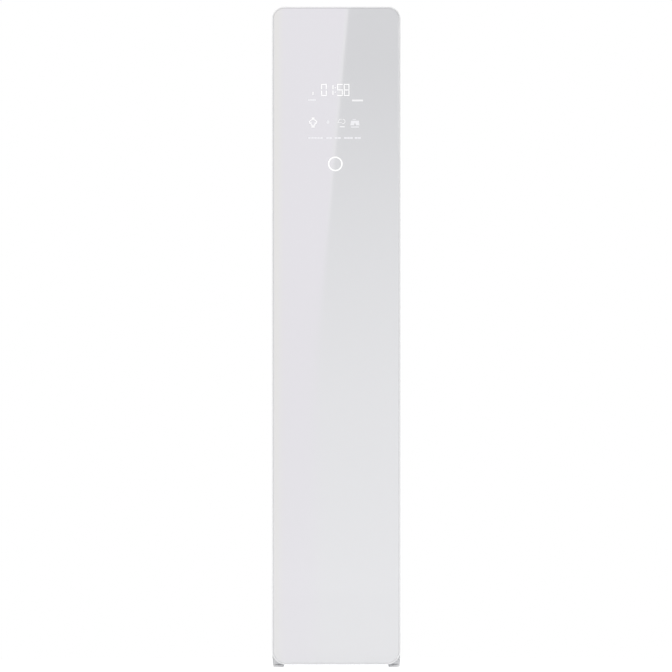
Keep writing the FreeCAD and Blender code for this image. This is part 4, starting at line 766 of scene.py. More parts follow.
class Bench:
    """Makes meshes, joins and finishes them, and hangs them on the bodies of the frame."""

    @staticmethod
    def shade(mesh: Mesh, angle: float = SMOOTH_ANGLE) -> Mesh:
        """Shade a mesh smooth, except over its sharp edges.

        Args:
            mesh: the mesh.
            angle: the largest angle that is still smooth, in degrees.

        Returns:
            The same mesh.
        """
        mesh.shade_smooth()
        mesh.set_sharp_from_angle(angle=math.radians(angle))
        return mesh

    @classmethod
    def cast(
        cls, shape: bmesh.types.BMesh, name: str = "part", smooth: float = SMOOTH_ANGLE
    ) -> Mesh:
        """Turn an edited mesh into a plain one.

        Args:
            shape: the edited mesh, which is freed.
            name: the mesh's name.
            smooth: the largest angle that is still smooth, in degrees.

        Returns:
            The mesh.
        """
        mesh = bpy.data.meshes.new(name)
        shape.to_mesh(mesh)
        shape.free()
        return cls.shade(mesh, smooth)

    @classmethod
    def block(cls, corner: Point, other: Point, round_: float = 0.0, steps: int = 3) -> Mesh:
        """A block with rounded edges.

        Args:
            corner: one of its corners.
            other: the corner across from it.
            round_: the radius of its edges.
            steps: segments over each rounded edge.

        Returns:
            Its mesh.
        """
        shape = bmesh.new()
        bmesh.ops.create_cube(shape, size=1.0)
        for vertex in shape.verts:
            for axis, (a, b) in enumerate(zip(corner, other)):
                vertex.co[axis] = (a + b) / 2 + vertex.co[axis] * abs(b - a)
        if round_:
            cls.ease(shape, shape.edges[:], round_, steps)
        return cls.cast(shape)

    @staticmethod
    def ease(shape: bmesh.types.BMesh, edges: list, radius: float, steps: int = 3) -> None:
        """Round some edges of a mesh.

        Args:
            shape: the edited mesh.
            edges: the edges.
            radius: their radius.
            steps: segments over each edge.
        """
        bmesh.ops.bevel(
            shape, geom=edges, offset=radius, segments=steps, affect="EDGES", profile=0.5
        )

    @staticmethod
    def skin(rings: Sequence[Sequence[Point]], closed: bool = False) -> bmesh.types.BMesh:
        """A skin over a row of rings, where a ring of one point is a tip.

        Args:
            rings: the rings.
            closed: whether the row comes back to its start, so that it has no end faces.

        Returns:
            The edited mesh.
        """
        shape = bmesh.new()
        made = [[shape.verts.new(point) for point in ring] for ring in rings]
        for near, far in zip(made, made[1:] + made[:1] if closed else made[1:]):
            for step in range(max(len(near), len(far))):
                corners = [near[step % len(near)], near[(step + 1) % len(near)]]
                corners += [far[(step + 1) % len(far)], far[step % len(far)]]
                corners = list(dict.fromkeys(corners))
                if len(corners) > 2:
                    shape.faces.new(corners)
        for ring in () if closed else (made[0], made[-1]):
            if len(ring) > 2:
                shape.faces.new(ring)
        bmesh.ops.recalc_face_normals(shape, faces=shape.faces[:])
        return shape

    @classmethod
    def lathe(
        cls, profile: Sequence[Flat], centre: Point, plane: Plane, steps: int = 48, way: int = 1
    ) -> Mesh:
        """A piece turned about an axis.

        Args:
            profile: (radius, height) along the axis, from one end to the other.
            centre: the point of the axis at height 0.
            plane: the plane of its circles.
            steps: sides of the circles.
            way: -1 turns its heights the other way.

        Returns:
            Its mesh.
        """
        u, v = (value for axis, value in enumerate(centre) if axis != plane.value)
        base = centre[plane.value]
        return cls.cast(cls.skin([
            lifted(circle(u, v, radius, steps if radius > 1e-6 else 1), plane, base + way * height)
            for radius, height in profile
        ]))

    @classmethod
    def plate(
        cls, outline: Sequence[Flat], plane: Plane, span: Flat, round_: float = 0.0
    ) -> Mesh:
        """A flat piece of any outline.

        Args:
            outline: its corners.
            plane: the way that the outline faces.
            span: its two ends across the plane.
            round_: the radius of its rims.

        Returns:
            Its mesh.
        """
        shape = cls.skin([lifted(outline, plane, level) for level in span])
        if round_:
            base = set(list(shape.verts)[:len(outline)])
            rims = [edge for edge in shape.edges if len(base.intersection(edge.verts)) != 1]
            cls.ease(shape, rims, round_)
        return cls.cast(shape)

    @classmethod
    def sweep(
        cls, path: Sequence[Point], radius: float, steps: int = 6, closed: bool = False
    ) -> Mesh:
        """A round bar or bead along a path.

        Args:
            path: the points of its middle line.
            radius: its radius.
            steps: a measure of how many sides it has.
            closed: whether the path comes back to its start.

        Returns:
            Its mesh.
        """
        curve = bpy.data.curves.new("path", "CURVE")
        curve.dimensions = "3D"
        curve.bevel_depth = radius
        curve.bevel_resolution = steps
        curve.use_fill_caps = True
        spline = curve.splines.new("POLY")
        spline.points.add(len(path) - 1)
        for point, place in zip(spline.points, path):
            point.co = (*place, 1.0)
        spline.use_cyclic_u = closed
        holder = stand("path", curve)
        bpy.context.view_layer.update()
        mesh = bpy.data.meshes.new_from_object(
            holder.evaluated_get(bpy.context.evaluated_depsgraph_get())
        )
        bpy.data.objects.remove(holder)
        bpy.data.curves.remove(curve)
        return cls.shade(mesh)

    @classmethod
    def rod(cls, spot: Flat, plane: Plane, span: Flat, radius: float, steps: int = 6) -> Mesh:
        """A straight round bar across a plane.

        Args:
            spot: where it goes through the plane.
            plane: the plane.
            span: its two ends across the plane.
            radius: its radius.
            steps: a measure of how many sides it has.

        Returns:
            Its mesh.
        """
        return cls.sweep([lifted([spot], plane, level)[0] for level in span], radius, steps)

    @classmethod
    def bead(
        cls, outline: Sequence[Flat], plane: Plane, level: float, radius: float, steps: int
    ) -> Mesh:
        """A round bead that goes once round a flat outline.

        Args:
            outline: the corners of its middle line.
            plane: the way that the outline faces.
            level: where it lies across the plane.
            radius: its radius.
            steps: a measure of how many sides it has.

        Returns:
            Its mesh.
        """
        return cls.sweep(lifted(outline, plane, level), radius, steps, closed=True)

    @staticmethod
    def carve(mesh: Mesh, cutters: Sequence[Mesh]) -> Mesh:
        """Cut shapes out of a mesh.

        Args:
            mesh: the mesh.
            cutters: the shapes to take away, which are removed.

        Returns:
            What is left.
        """
        piece = stand("piece", mesh)
        for cutter in cutters:
            step = piece.modifiers.new("cut", "BOOLEAN")
            step.object = stand("cutter", cutter)
            step.solver = "EXACT"
            evaluated = piece.evaluated_get(bpy.context.evaluated_depsgraph_get())
            mesh = bpy.data.meshes.new_from_object(evaluated)
            bpy.data.objects.remove(step.object)
            piece.modifiers.clear()
            piece.data = mesh
        bpy.data.objects.remove(piece)
        return mesh

    @classmethod
    def mount(
        cls, name: str, parts: Sequence[Mesh], like: str, stands: bool = False, *,
        body: str | None = None, finish: Finish | None = None, smooth: float = SMOOTH_ANGLE,
    ) -> None:
        """Join parts into one piece, finish it and hang it on a body.

        Args:
            name: the piece's name.
            parts: the meshes of its parts, which are used up.
            like: the frame's node whose finish and body it shares.
            stands: whether it stands for that node.
            body: the body that it moves with, where that isn't the node's.
            finish: its finish, where that isn't the node's.
            smooth: the largest angle that is still smooth, in degrees.
        """
        shape = bmesh.new()
        for part in parts:
            shape.from_mesh(part)
            bpy.data.meshes.remove(part)
        piece = stand(name, cls.cast(shape, name, smooth))
        cls.hang(piece, like, stands, body or BODIES[like], finish or NODE_FINISHES[like])

    @staticmethod
    def hang(
        piece: bpy.types.Object, like: str, stands: bool, body: str, finish: Finish
    ) -> None:
        """Finish a piece and hang it on a body.

        Args:
            piece: the piece, in place.
            like: the frame's node that it stands for, where it does.
            stands: whether it stands for that node.
            body: the body that it moves with.
            finish: its finish.
        """
        piece.data.materials.clear()
        piece.data.materials.append(finish.material())
        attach(piece, body)
        if stands:
            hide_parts(like)
        LOG.info("%s rides on %s", piece.name, body)

    @classmethod
    def soften(cls, **radii: float) -> None:
        """Put a copy with rounded edges in the place of each of some frame nodes.

        Args:
            radii: the node's name to the radius of its edges.
        """
        for node, radius in radii.items():
            shape = copy_of(node)
            bmesh.ops.join_triangles(
                shape, faces=shape.faces[:], angle_face_threshold=math.radians(0.6),
                angle_shape_threshold=math.radians(50),
            )
            thing = stand(node + "_soft", cls.cast(shape, node + "_soft", 30.0))
            bevel = thing.modifiers.new("edges", "BEVEL")
            bevel.width = radius
            bevel.segments = 3
            bevel.limit_method = "ANGLE"
            bevel.angle_limit = math.radians(32)
            bevel.use_clamp_overlap = True
            bevel.miter_outer = "MITER_ARC"
            weigh = thing.modifiers.new("shading", "WEIGHTED_NORMAL")
            weigh.weight = 100
            weigh.keep_sharp = False
            cls.hang(thing, node, True, BODIES[node], NODE_FINISHES[node])


@dataclass(frozen=True)
class Studio:
    """The white studio round the closet: camera, sky, lamps, floor and the room that glass mirrors.

    Lengths are in metres, colours are linear.
    """

    camera_distance: float = 60.0
    camera_x: float = -0.0006
    camera_z: float = 0.928
    view_width: float = 1.8816
    sensor: float = 36.0
    front: float = -0.29
    sky_fill: float = 0.68
    floor_radius: float = 1.4
    floor_lift: float = 0.7
    floor_bounce: float = 0.2
    floor_sink: float = 0.0002
    lamp_aim: float = 0.9
    room_distance: float = 2.6
    room_half: float = 2.6
    room_rise: float = 1.8

    def build(self) -> None:
        """Set up everything of the studio."""
        self.camera()
        self.sky()
        self.lamp("left_lamp", (-3.4, -6.0, 0.9), 4.0, 116.0)
        self.lamp("right_lamp", (3.4, -6.0, 0.9), 4.0, 116.0)
        self.lamp("top_lamp", (0.0, -1.0, 4.6), 2.4, 26.0)
        self.floor()
        self.mirrored_room()
        bpy.context.scene.view_settings.view_transform = "Standard"

    def camera(self) -> None:
        """A long lens, square on to the front."""
        data = bpy.data.cameras.new("camera")
        data.sensor_width = self.sensor
        data.lens = self.sensor * (self.camera_distance + self.front) / self.view_width
        data.clip_start = 1.0
        data.clip_end = 200.0
        holder = stand("camera", data)
        holder.location = (self.camera_x, -self.camera_distance, self.camera_z)
        holder.rotation_euler = (math.pi / 2, 0.0, 0.0)
        bpy.context.scene.camera = holder

    def sky(self) -> None:
        """A white surround that lights the closet more weakly than it shows."""
        world = bpy.context.scene.world = bpy.data.worlds.new("studio")
        net = fresh_net(world)
        strength = net.levels(net.seen(), 0.0, 1.0, self.sky_fill, 1.0)
        net.show(net.add("Background", {"Color": WHITE, "Strength": strength}), "OutputWorld")

    def lamp(self, name: str, place: Point, size: float, power: float) -> None:
        """Add a square lamp that points at the closet's middle and doesn't mirror.

        Args:
            name: its name.
            place: its middle.
            size: its side.
            power: its power in watts.
        """
        data = bpy.data.lights.new(name, "AREA")
        data.size = size
        data.energy = power
        holder = stand(name, data)
        holder.location = place
        way = Vector((0.0, 0.0, self.lamp_aim)) - Vector(place)
        holder.rotation_euler = way.to_track_quat("-Z", "Y").to_euler()
        holder.visible_glossy = False

    def floor(self) -> None:
        """A white floor that keeps a pale shadow of the closet."""
        material = bpy.data.materials.new("studio_floor")
        net = fresh_net(material)
        tone = net.mix(net.noise(3.0, 3.0), (0.88, 0.88, 0.88), (0.92, 0.92, 0.92))
        lift = net.math("MULTIPLY", net.seen(), self.floor_lift)
        diffuse = net.add("LightPath").outputs["Is Diffuse Ray"]
        bounce = net.math("MULTIPLY", diffuse, self.floor_bounce)
        glow = net.add("Emission", {"Strength": net.math("MAXIMUM", lift, bounce)})
        paint = net.add("BsdfDiffuse", {"Color": tone})
        net.show(net.add("AddShader", {0: paint.outputs[0], 1: glow.outputs[0]}))
        shape = bmesh.new()
        bmesh.ops.create_circle(shape, cap_ends=True, radius=self.floor_radius, segments=96)
        mesh = bpy.data.meshes.new("studio_floor")
        shape.to_mesh(mesh)
        shape.free()
        mesh.materials.append(material)
        holder = stand("studio_floor", mesh)
        holder.location = (0.0, 0.0, -self.floor_sink)

    def mirrored_room(self) -> None:
        """What the glass mirrors: a bright wall and, right of it, a dark slanting opening."""
        material = bpy.data.materials.new("mirrored_room")
        net = fresh_net(material)
        parts = net.add("SeparateXYZ", {0: net.place()}).outputs
        across, up = parts["X"], parts["Z"]
        edge = net.levels(up, 0.84, 1.88, -0.059, 0.036)
        blur = net.levels(up, 0.4, 1.4, 0.03, 0.004)
        ends = net.math("SUBTRACT", edge, blur), net.math("ADD", edge, blur)
        right = net.levels(across, *ends, interpolation_type="SMOOTHSTEP")
        ramp = net.add("ValToRGB", {"Fac": net.levels(up, 0.4, 1.8)})
        steps = ramp.color_ramp.elements
        stops = ((0.0, 1.04), (0.25, 0.94), (0.45, 0.75), (0.66, 0.5), (0.86, 0.14), (0.95, 0.0))
        while len(steps) < len(stops):
            steps.new(0.5)
        for element, (position, level) in zip(steps, stops):
            element.position = position
            element.color = (level, level, level, 1.0)
        wall = net.mix(net.levels(across, -0.168, -0.152), (1.1, 1.0, 0.8), (1.04, 0.9, 1.08))
        wall = net.mix(net.levels(net.noise(2.0, 1.0), 0.3, 0.7, 0.0, 0.03), wall, WHITE)
        beside = net.levels(net.math("SUBTRACT", edge, across), 0.011, 0.004)
        rim = net.math("MULTIPLY", beside, net.levels(up, 1.1, 1.5))
        wall = net.mix(rim, wall, (1.2, 1.15, 1.15))
        colour = net.mix(right, wall, ramp.outputs["Color"])
        colour = net.mix(net.levels(up, 1.2, 0.35, 0.0, 0.22), colour, (0.2, 0.19, 0.18))
        colour = net.mix(net.levels(up, 0.16, 0.02, 0.0, 0.28), colour, (1.9, 1.9, 1.9))
        net.show(net.add("Emission", {"Color": colour}))
        half, top = self.room_half, self.room_half + self.room_rise
        mesh = bpy.data.meshes.new("mirrored_room")
        outline = [(-half, -half), (half, -half), (half, top), (-half, top)]
        mesh.from_pydata(lifted(outline, Plane.FRONT, 0.0), [], [(0, 1, 2, 3)])
        mesh.materials.append(material)
        holder = stand("mirrored_room", mesh)
        holder.location = (0.0, -self.room_distance, 0.0)
        for rays in ("camera", "diffuse", "transmission", "shadow"):
            setattr(holder, "visible_" + rays, False)


@dataclass(frozen=True)
class Screw:
    """A pan-head screw with a cross recess, looking along Y. Lengths are in metres."""

    radius: float
    height: float
    recess: float = 0.0011

    def build(self, centre: Point, way: int) -> Mesh:
        """Make one screw.

        Args:
            centre: the middle of its seat.
            way: +1 when the head looks along Y, -1 when it looks against it.

        Returns:
            Its mesh.
        """
        (x, y, z), r, h = centre, self.radius, self.height
        profile = [
            (0.0, h), (r * 0.45, h * 0.97), (r * 0.75, h * 0.82), (r * 0.94, h * 0.5),
            (r, h * 0.15), (r, 0.0), (0.0, 0.0),
        ]
        floor, above = y + way * (h - self.recess), y + way * (h + 0.001)
        arms = ((r * 0.62, r * 0.14), (r * 0.14, r * 0.62))
        cutters = [Bench.block((x - a, floor, z - b), (x + a, above, z + b)) for a, b in arms]
        return Bench.carve(Bench.lathe(profile, centre, Plane.FRONT, 28, way), cutters)


@dataclass(frozen=True)
class Cabinet:
    """The outside of the cabinet: casing, back panel and what is fixed to them.

    Lengths are in metres.
    """

    rear: float = 0.285
    swage_width: float = 0.012
    swage_rise: float = 0.0014
    swage_sink: float = 0.0006
    swage_edge: float = 0.0010
    swage_low: float = 0.62
    swage_high: float = 1.64
    swage_columns: tuple[float, ...] = (-0.105, 0.0, 0.105)
    band_half: float = 0.118
    band_height: float = 0.010
    band_levels: Flat = (0.555, 1.705)
    least_flat: float = 0.0002
    gland_radius: float = 0.015
    grip_count: int = 12
    grip_radius: float = 0.0009
    head_height: float = 0.0024

    def build(self) -> None:
        """Dress the outside."""
        Bench.soften(casing=0.0012, wall_spacers=0.0010, base_pan=0.0004, rear_feet=0.0010)
        self.back()
        self.gland()
        self.screws("panel_screws", 1)
        Bench.soften(hinge_pins=0.0006, hinge_bushes=0.0006)
        self.screws("hinge_screws", -1)

    def back(self) -> None:
        """The pressed swages that stiffen the back panel: three upright ones, two across."""
        half = self.swage_width / 2
        outlines = [
            rounded_rectangle(
                half, self.swage_low, self.swage_high, half - self.least_flat, 10, x
            )
            for x in self.swage_columns
        ]
        half = self.band_height / 2
        outlines += [
            rounded_rectangle(self.band_half, z - half, z + half, half - self.least_flat, 10)
            for z in self.band_levels
        ]
        span = (self.rear - self.swage_sink, self.rear + self.swage_rise)
        swages = [Bench.plate(outline, Plane.FRONT, span, self.swage_edge) for outline in outlines]
        Bench.mount("back_swages", swages, "back_panel")

    def gland(self) -> None:
        """The ribbed gland where the mains lead leaves, with its nut and its rubber sleeve."""
        _, high, (x, _, z) = room("mains_gland")
        r, depth, rear = self.gland_radius, high.y - self.rear, self.rear
        profile = [
            (0.0, -0.0090), (r * 0.72, -0.0090), (r * 0.72, 0.0), (r, 0.0), (r, depth * 0.35),
            (r * 0.92, depth * 0.5),
        ]
        for step in range(3):
            level = depth * (0.5 + 0.17 * step)
            profile += [
                (r * 0.62, level), (r * 0.62, level + depth * 0.07),
                (r * 0.56, level + depth * 0.08),
            ]
        profile += [
            (r * 0.5, depth), (r * 0.26, depth), (r * 0.24, depth * 0.6), (0.0, depth * 0.6),
        ]
        parts = [Bench.lathe(profile, (x, rear, z), Plane.FRONT)]
        for spot in circle(x, z, r * 0.97, self.grip_count):
            span = (rear + 0.0002, rear + depth * 0.34)
            parts.append(Bench.rod(spot, Plane.FRONT, span, self.grip_radius, 3))
        Bench.mount("gland", parts, "mains_gland", True)

    def screws(self, node: str, way: int) -> None:
        """Make real screws for a node of screws.

        Args:
            node: the frame's node.
            way: +1 when the heads look along Y, -1 when they look against it.
        """
        heads = []
        for low, high, (x, _, z) in islands(node):
            screw = Screw((high.x - low.x) / 2, min(self.head_height, high.y - low.y))
            heads.append(screw.build((x, low.y if way > 0 else high.y, z), way))
        Bench.mount(node + "_heads", heads, node, True)


@dataclass(frozen=True)
class Foot:
    """A front foot that screws up and down: knurled pad and thread. Lengths are in metres."""

    side: str
    pad_radius: float = 0.0160
    pad_height: float = 0.0075
    thread_radius: float = 0.0050
    thread_pitch: float = 0.0018
    knurl_count: int = 36
    knurl_radius: float = 0.00055
    knurl_low: float = 0.0034
    top: float = 0.0364

    def build(self) -> None:
        """Make the foot."""
        node = "front_foot_" + self.side
        _, _, (x, y, _) = room(node)
        r, h, crest, pitch = self.pad_radius, self.pad_height, self.thread_radius, self.thread_pitch
        root = crest * 0.86
        profile = [
            (0.0, 0.0), (r * 0.80, 0.0), (r * 0.90, 0.0005), (r * 0.97, 0.0015), (r, 0.0030),
            (r, h - 0.0012), (r * 0.97, h - 0.0004), (r * 0.92, h), (r * 0.62, h),
            (r * 0.6, h + 0.0006), (crest * 1.02, h + 0.0008), (root, h + 0.0012),
        ]
        level = h + 0.0012
        while level + pitch < self.top:
            profile += [(crest, level + pitch * 0.5), (root, level + pitch)]
            level += pitch
        profile.append((0.0, level + 0.0002))
        parts = [Bench.lathe(profile, (x, y, 0.0), Plane.TOP, 64)]
        for spot in circle(x, y, r - 0.0001, self.knurl_count):
            span = (self.knurl_low, h - 0.0016)
            parts.append(Bench.rod(spot, Plane.TOP, span, self.knurl_radius, 2))
        Bench.mount(node + "_foot", parts, node, True)


@dataclass(frozen=True)
class Cabin:
    """The space for the clothes: liner, floor, lamp, vents, filter, cartridge and rack.

    Lengths are in metres.
    """

    half: float = 0.150
    rear: float = 0.215
    floor: float = 0.432
    ceiling: float = 1.745
    rib_half: float = 0.0060
    rib_rise: float = 0.0012
    rib_sink: float = 0.0015
    rib_pitch: float = 0.030
    rib_margin: float = 0.110
    rear_ribs: int = 9
    rear_rib_low: float = 0.602
    side_ribs: int = 7
    side_rib_low: float = 0.800
    side_rib_start: float = -0.126
    side_rib_pitch: float = 0.045
    lights: int = 10
    nozzle: Flat = (0.125, 0.060)
    slot_count: int = 6
    slot_circle: float = 0.0078
    rivet_count: int = 3
    rivet_circle: float = 0.0185
    thread: float = 0.00042
    thread_lift: float = 0.00032
    threads_across: int = 44
    threads_along: int = 14
    ridge_count: int = 4
    ridge_pitch: float = 0.0019
    rack_wire: float = 0.0030
    rack_corner: float = 0.012
    rack_wires: int = 20

    def build(self) -> None:
        """Dress the inside."""
        Bench.soften(cabin_lamp=0.0012, outlet_grille=0.0007)
        self.wall_ribs()
        self.lamp_lights()
        self.steam_outlet()
        self.lint_filter()
        self.cartridge()
        self.rack()

    def wall_ribs(self) -> None:
        """The upright ribs moulded in the rear wall, and in the side walls above the rack's way."""
        high, half, rise = self.ceiling - self.rib_margin, self.rib_half, self.rib_rise
        corners = []
        for step in range(self.rear_ribs):
            x = (step - self.rear_ribs // 2) * self.rib_pitch
            corners.append((
                (x - half, self.rear - rise, self.rear_rib_low),
                (x + half, self.rear + self.rib_sink, high),
            ))
        for side in (-1, 1):
            for step in range(self.side_ribs):
                y = self.side_rib_start + step * self.side_rib_pitch
                corners.append((
                    (side * (self.half - rise), y - half, self.side_rib_low),
                    (side * (self.half + self.rib_sink), y + half, high),
                ))
        ribs = [Bench.block(*ends, rise * 0.96, 4) for ends in corners]
        Bench.mount("liner_ribs", ribs, "cabin_liner")

    def lamp_lights(self) -> None:
        """The row of small lights under the lamp's cover, and its two clips."""
        low, high, (_, y, _) = room("cabin_lamp")
        bulb = [
            (0.0, -0.0012), (0.0018, -0.0010), (0.0028, -0.0004), (0.0032, 0.0004), (0.0, 0.0004),
        ]
        lights = [
            Bench.lathe(bulb, (x, y, low.z), Plane.TOP, 24)
            for x in spread(low.x, high.x, self.lights)
        ]
        Bench.mount("lamp_lights", lights, "cabin_lamp")
        clips = [
            Bench.block(
                (x - 0.002, y - 0.004, high.z - 0.0026), (x + 0.002, y + 0.004, high.z + 0.0004),
                0.0008,
            )
            for x in (low.x - 0.0022, high.x + 0.0022)
        ]
        Bench.mount("lamp_clips", clips, "cabin_liner")

    def steam_outlet(self) -> None:
        """The steam nozzle: a stepped cone with six slots round its mouth, and three rivets."""
        low, high, _ = room("steam_nozzle")
        profile = [(0.0030, low.z), (0.0078, low.z), (0.0080, low.z + 0.0004)]
        profile += [(radius, self.floor + rise) for radius, rise in (
            (0.0080, 0.0), (0.0205, 0.0), (0.0210, 0.0005), (0.0210, 0.0025), (0.0205, 0.0030),
            (0.0176, 0.0032), (0.0170, 0.0045), (0.0140, 0.0075), (0.0122, 0.0098),
            (0.0112, 0.0104), (0.0060, 0.0113),
        )]
        profile += [
            (0.0040, high.z), (0.0032, high.z - 0.0002), (0.0030, high.z - 0.0008), (0.0030, low.z),
        ]
        cone = Bench.lathe(profile, (*self.nozzle, 0.0), Plane.TOP, 72)
        slot = [(0.0, 0.0085), (0.0010, 0.0085), (0.0010, 0.014), (0.0, 0.014)]
        slots = [
            Bench.lathe(slot, (*spot, self.floor), Plane.TOP, 20)
            for spot in circle(*self.nozzle, self.slot_circle, self.slot_count, 0.5)
        ]
        Bench.mount("nozzle_cone", [Bench.carve(cone, slots)], "steam_nozzle", True, smooth=30.0)
        rivet = [
            (0.0, 0.0009), (0.0009, 0.0008), (0.0014, 0.0003), (0.0015, -0.0002), (0.0, -0.0002),
        ]
        rivets = [
            Bench.lathe(rivet, (*spot, self.floor + 0.0029), Plane.TOP, 20)
            for spot in circle(*self.nozzle, self.rivet_circle, self.rivet_count, 0.25)
        ]
        Bench.mount("nozzle_rivets", rivets, "steam_nozzle")

    def lint_filter(self) -> None:
        """The filter: a frame with a pull tab, and a mesh of woven threads."""
        Bench.soften(filter_frame=0.0010)
        low, high, (_, _, z) = room("filter_mesh")
        columns = spread(low.x, high.x, self.threads_across)
        rows = spread(low.y, high.y, self.threads_along)
        lift, inset = self.thread_lift, 0.0004
        paths = []
        for step, x in enumerate(columns):
            waves = [(x, y, z + (lift, -lift)[(row + step + 1) % 2]) for row, y in enumerate(rows)]
            paths.append([(x, low.y + inset, z), *waves, (x, high.y - inset, z)])
        for row, y in enumerate(rows):
            waves = [(x, y, z + (lift, -lift)[(row + step) % 2]) for step, x in enumerate(columns)]
            paths.append([(low.x + inset, y, z), *waves, (high.x - inset, y, z)])
        threads = [Bench.sweep(path, self.thread, 1) for path in paths]
        Bench.mount("woven_mesh", threads, "filter_mesh", True)

    def cartridge(self) -> None:
        """The scent cartridge, with grip ridges at its ends."""
        Bench.soften(aroma_cartridge=0.0010)
        low, high, _ = room("aroma_cartridge")
        ridges = []
        for step in range(self.ridge_count):
            inset = 0.0026 + step * self.ridge_pitch
            for y in (low.y + inset, high.y - inset):
                spot, span = (y, high.z - 0.0001), (low.x + 0.012, high.x - 0.012)
                ridges.append(Bench.rod(spot, Plane.SIDE, span, 0.0005, 3))
        Bench.mount("cartridge_ridges", ridges, "aroma_cartridge")

    def rack(self) -> None:
        """The wire rack: a bent frame, a cross bar and thin wires with dropped ends on top."""
        low, high, (_, y, _) = room("shelf_rack")
        wire = self.rack_wire
        level, half = low.z + wire, high.x - wire
        outline = rounded_rectangle(half, low.y + wire, high.y - wire, self.rack_corner)
        wires = [
            Bench.bead(outline, Plane.TOP, level, wire * 0.98, 6),
            Bench.rod((y, level), Plane.SIDE, (-half, half), wire * 0.8, 5),
        ]
        drops = ((0.0030, 0.6), (0.0045, 1.1), (0.008, 1.3))
        ends = [(low.y + inset, level + wire * rise) for inset, rise in drops]
        ends += [(high.y - inset, level + wire * rise) for inset, rise in reversed(drops)]
        for step in range(1, self.rack_wires + 1):
            x = (step / (self.rack_wires + 1) - 0.5) * 2 * (half - 0.002)
            wires.append(Bench.sweep(lifted(ends, Plane.SIDE, x), wire * 0.66, 4))
        Bench.mount("rack", wires, "shelf_rack", True)


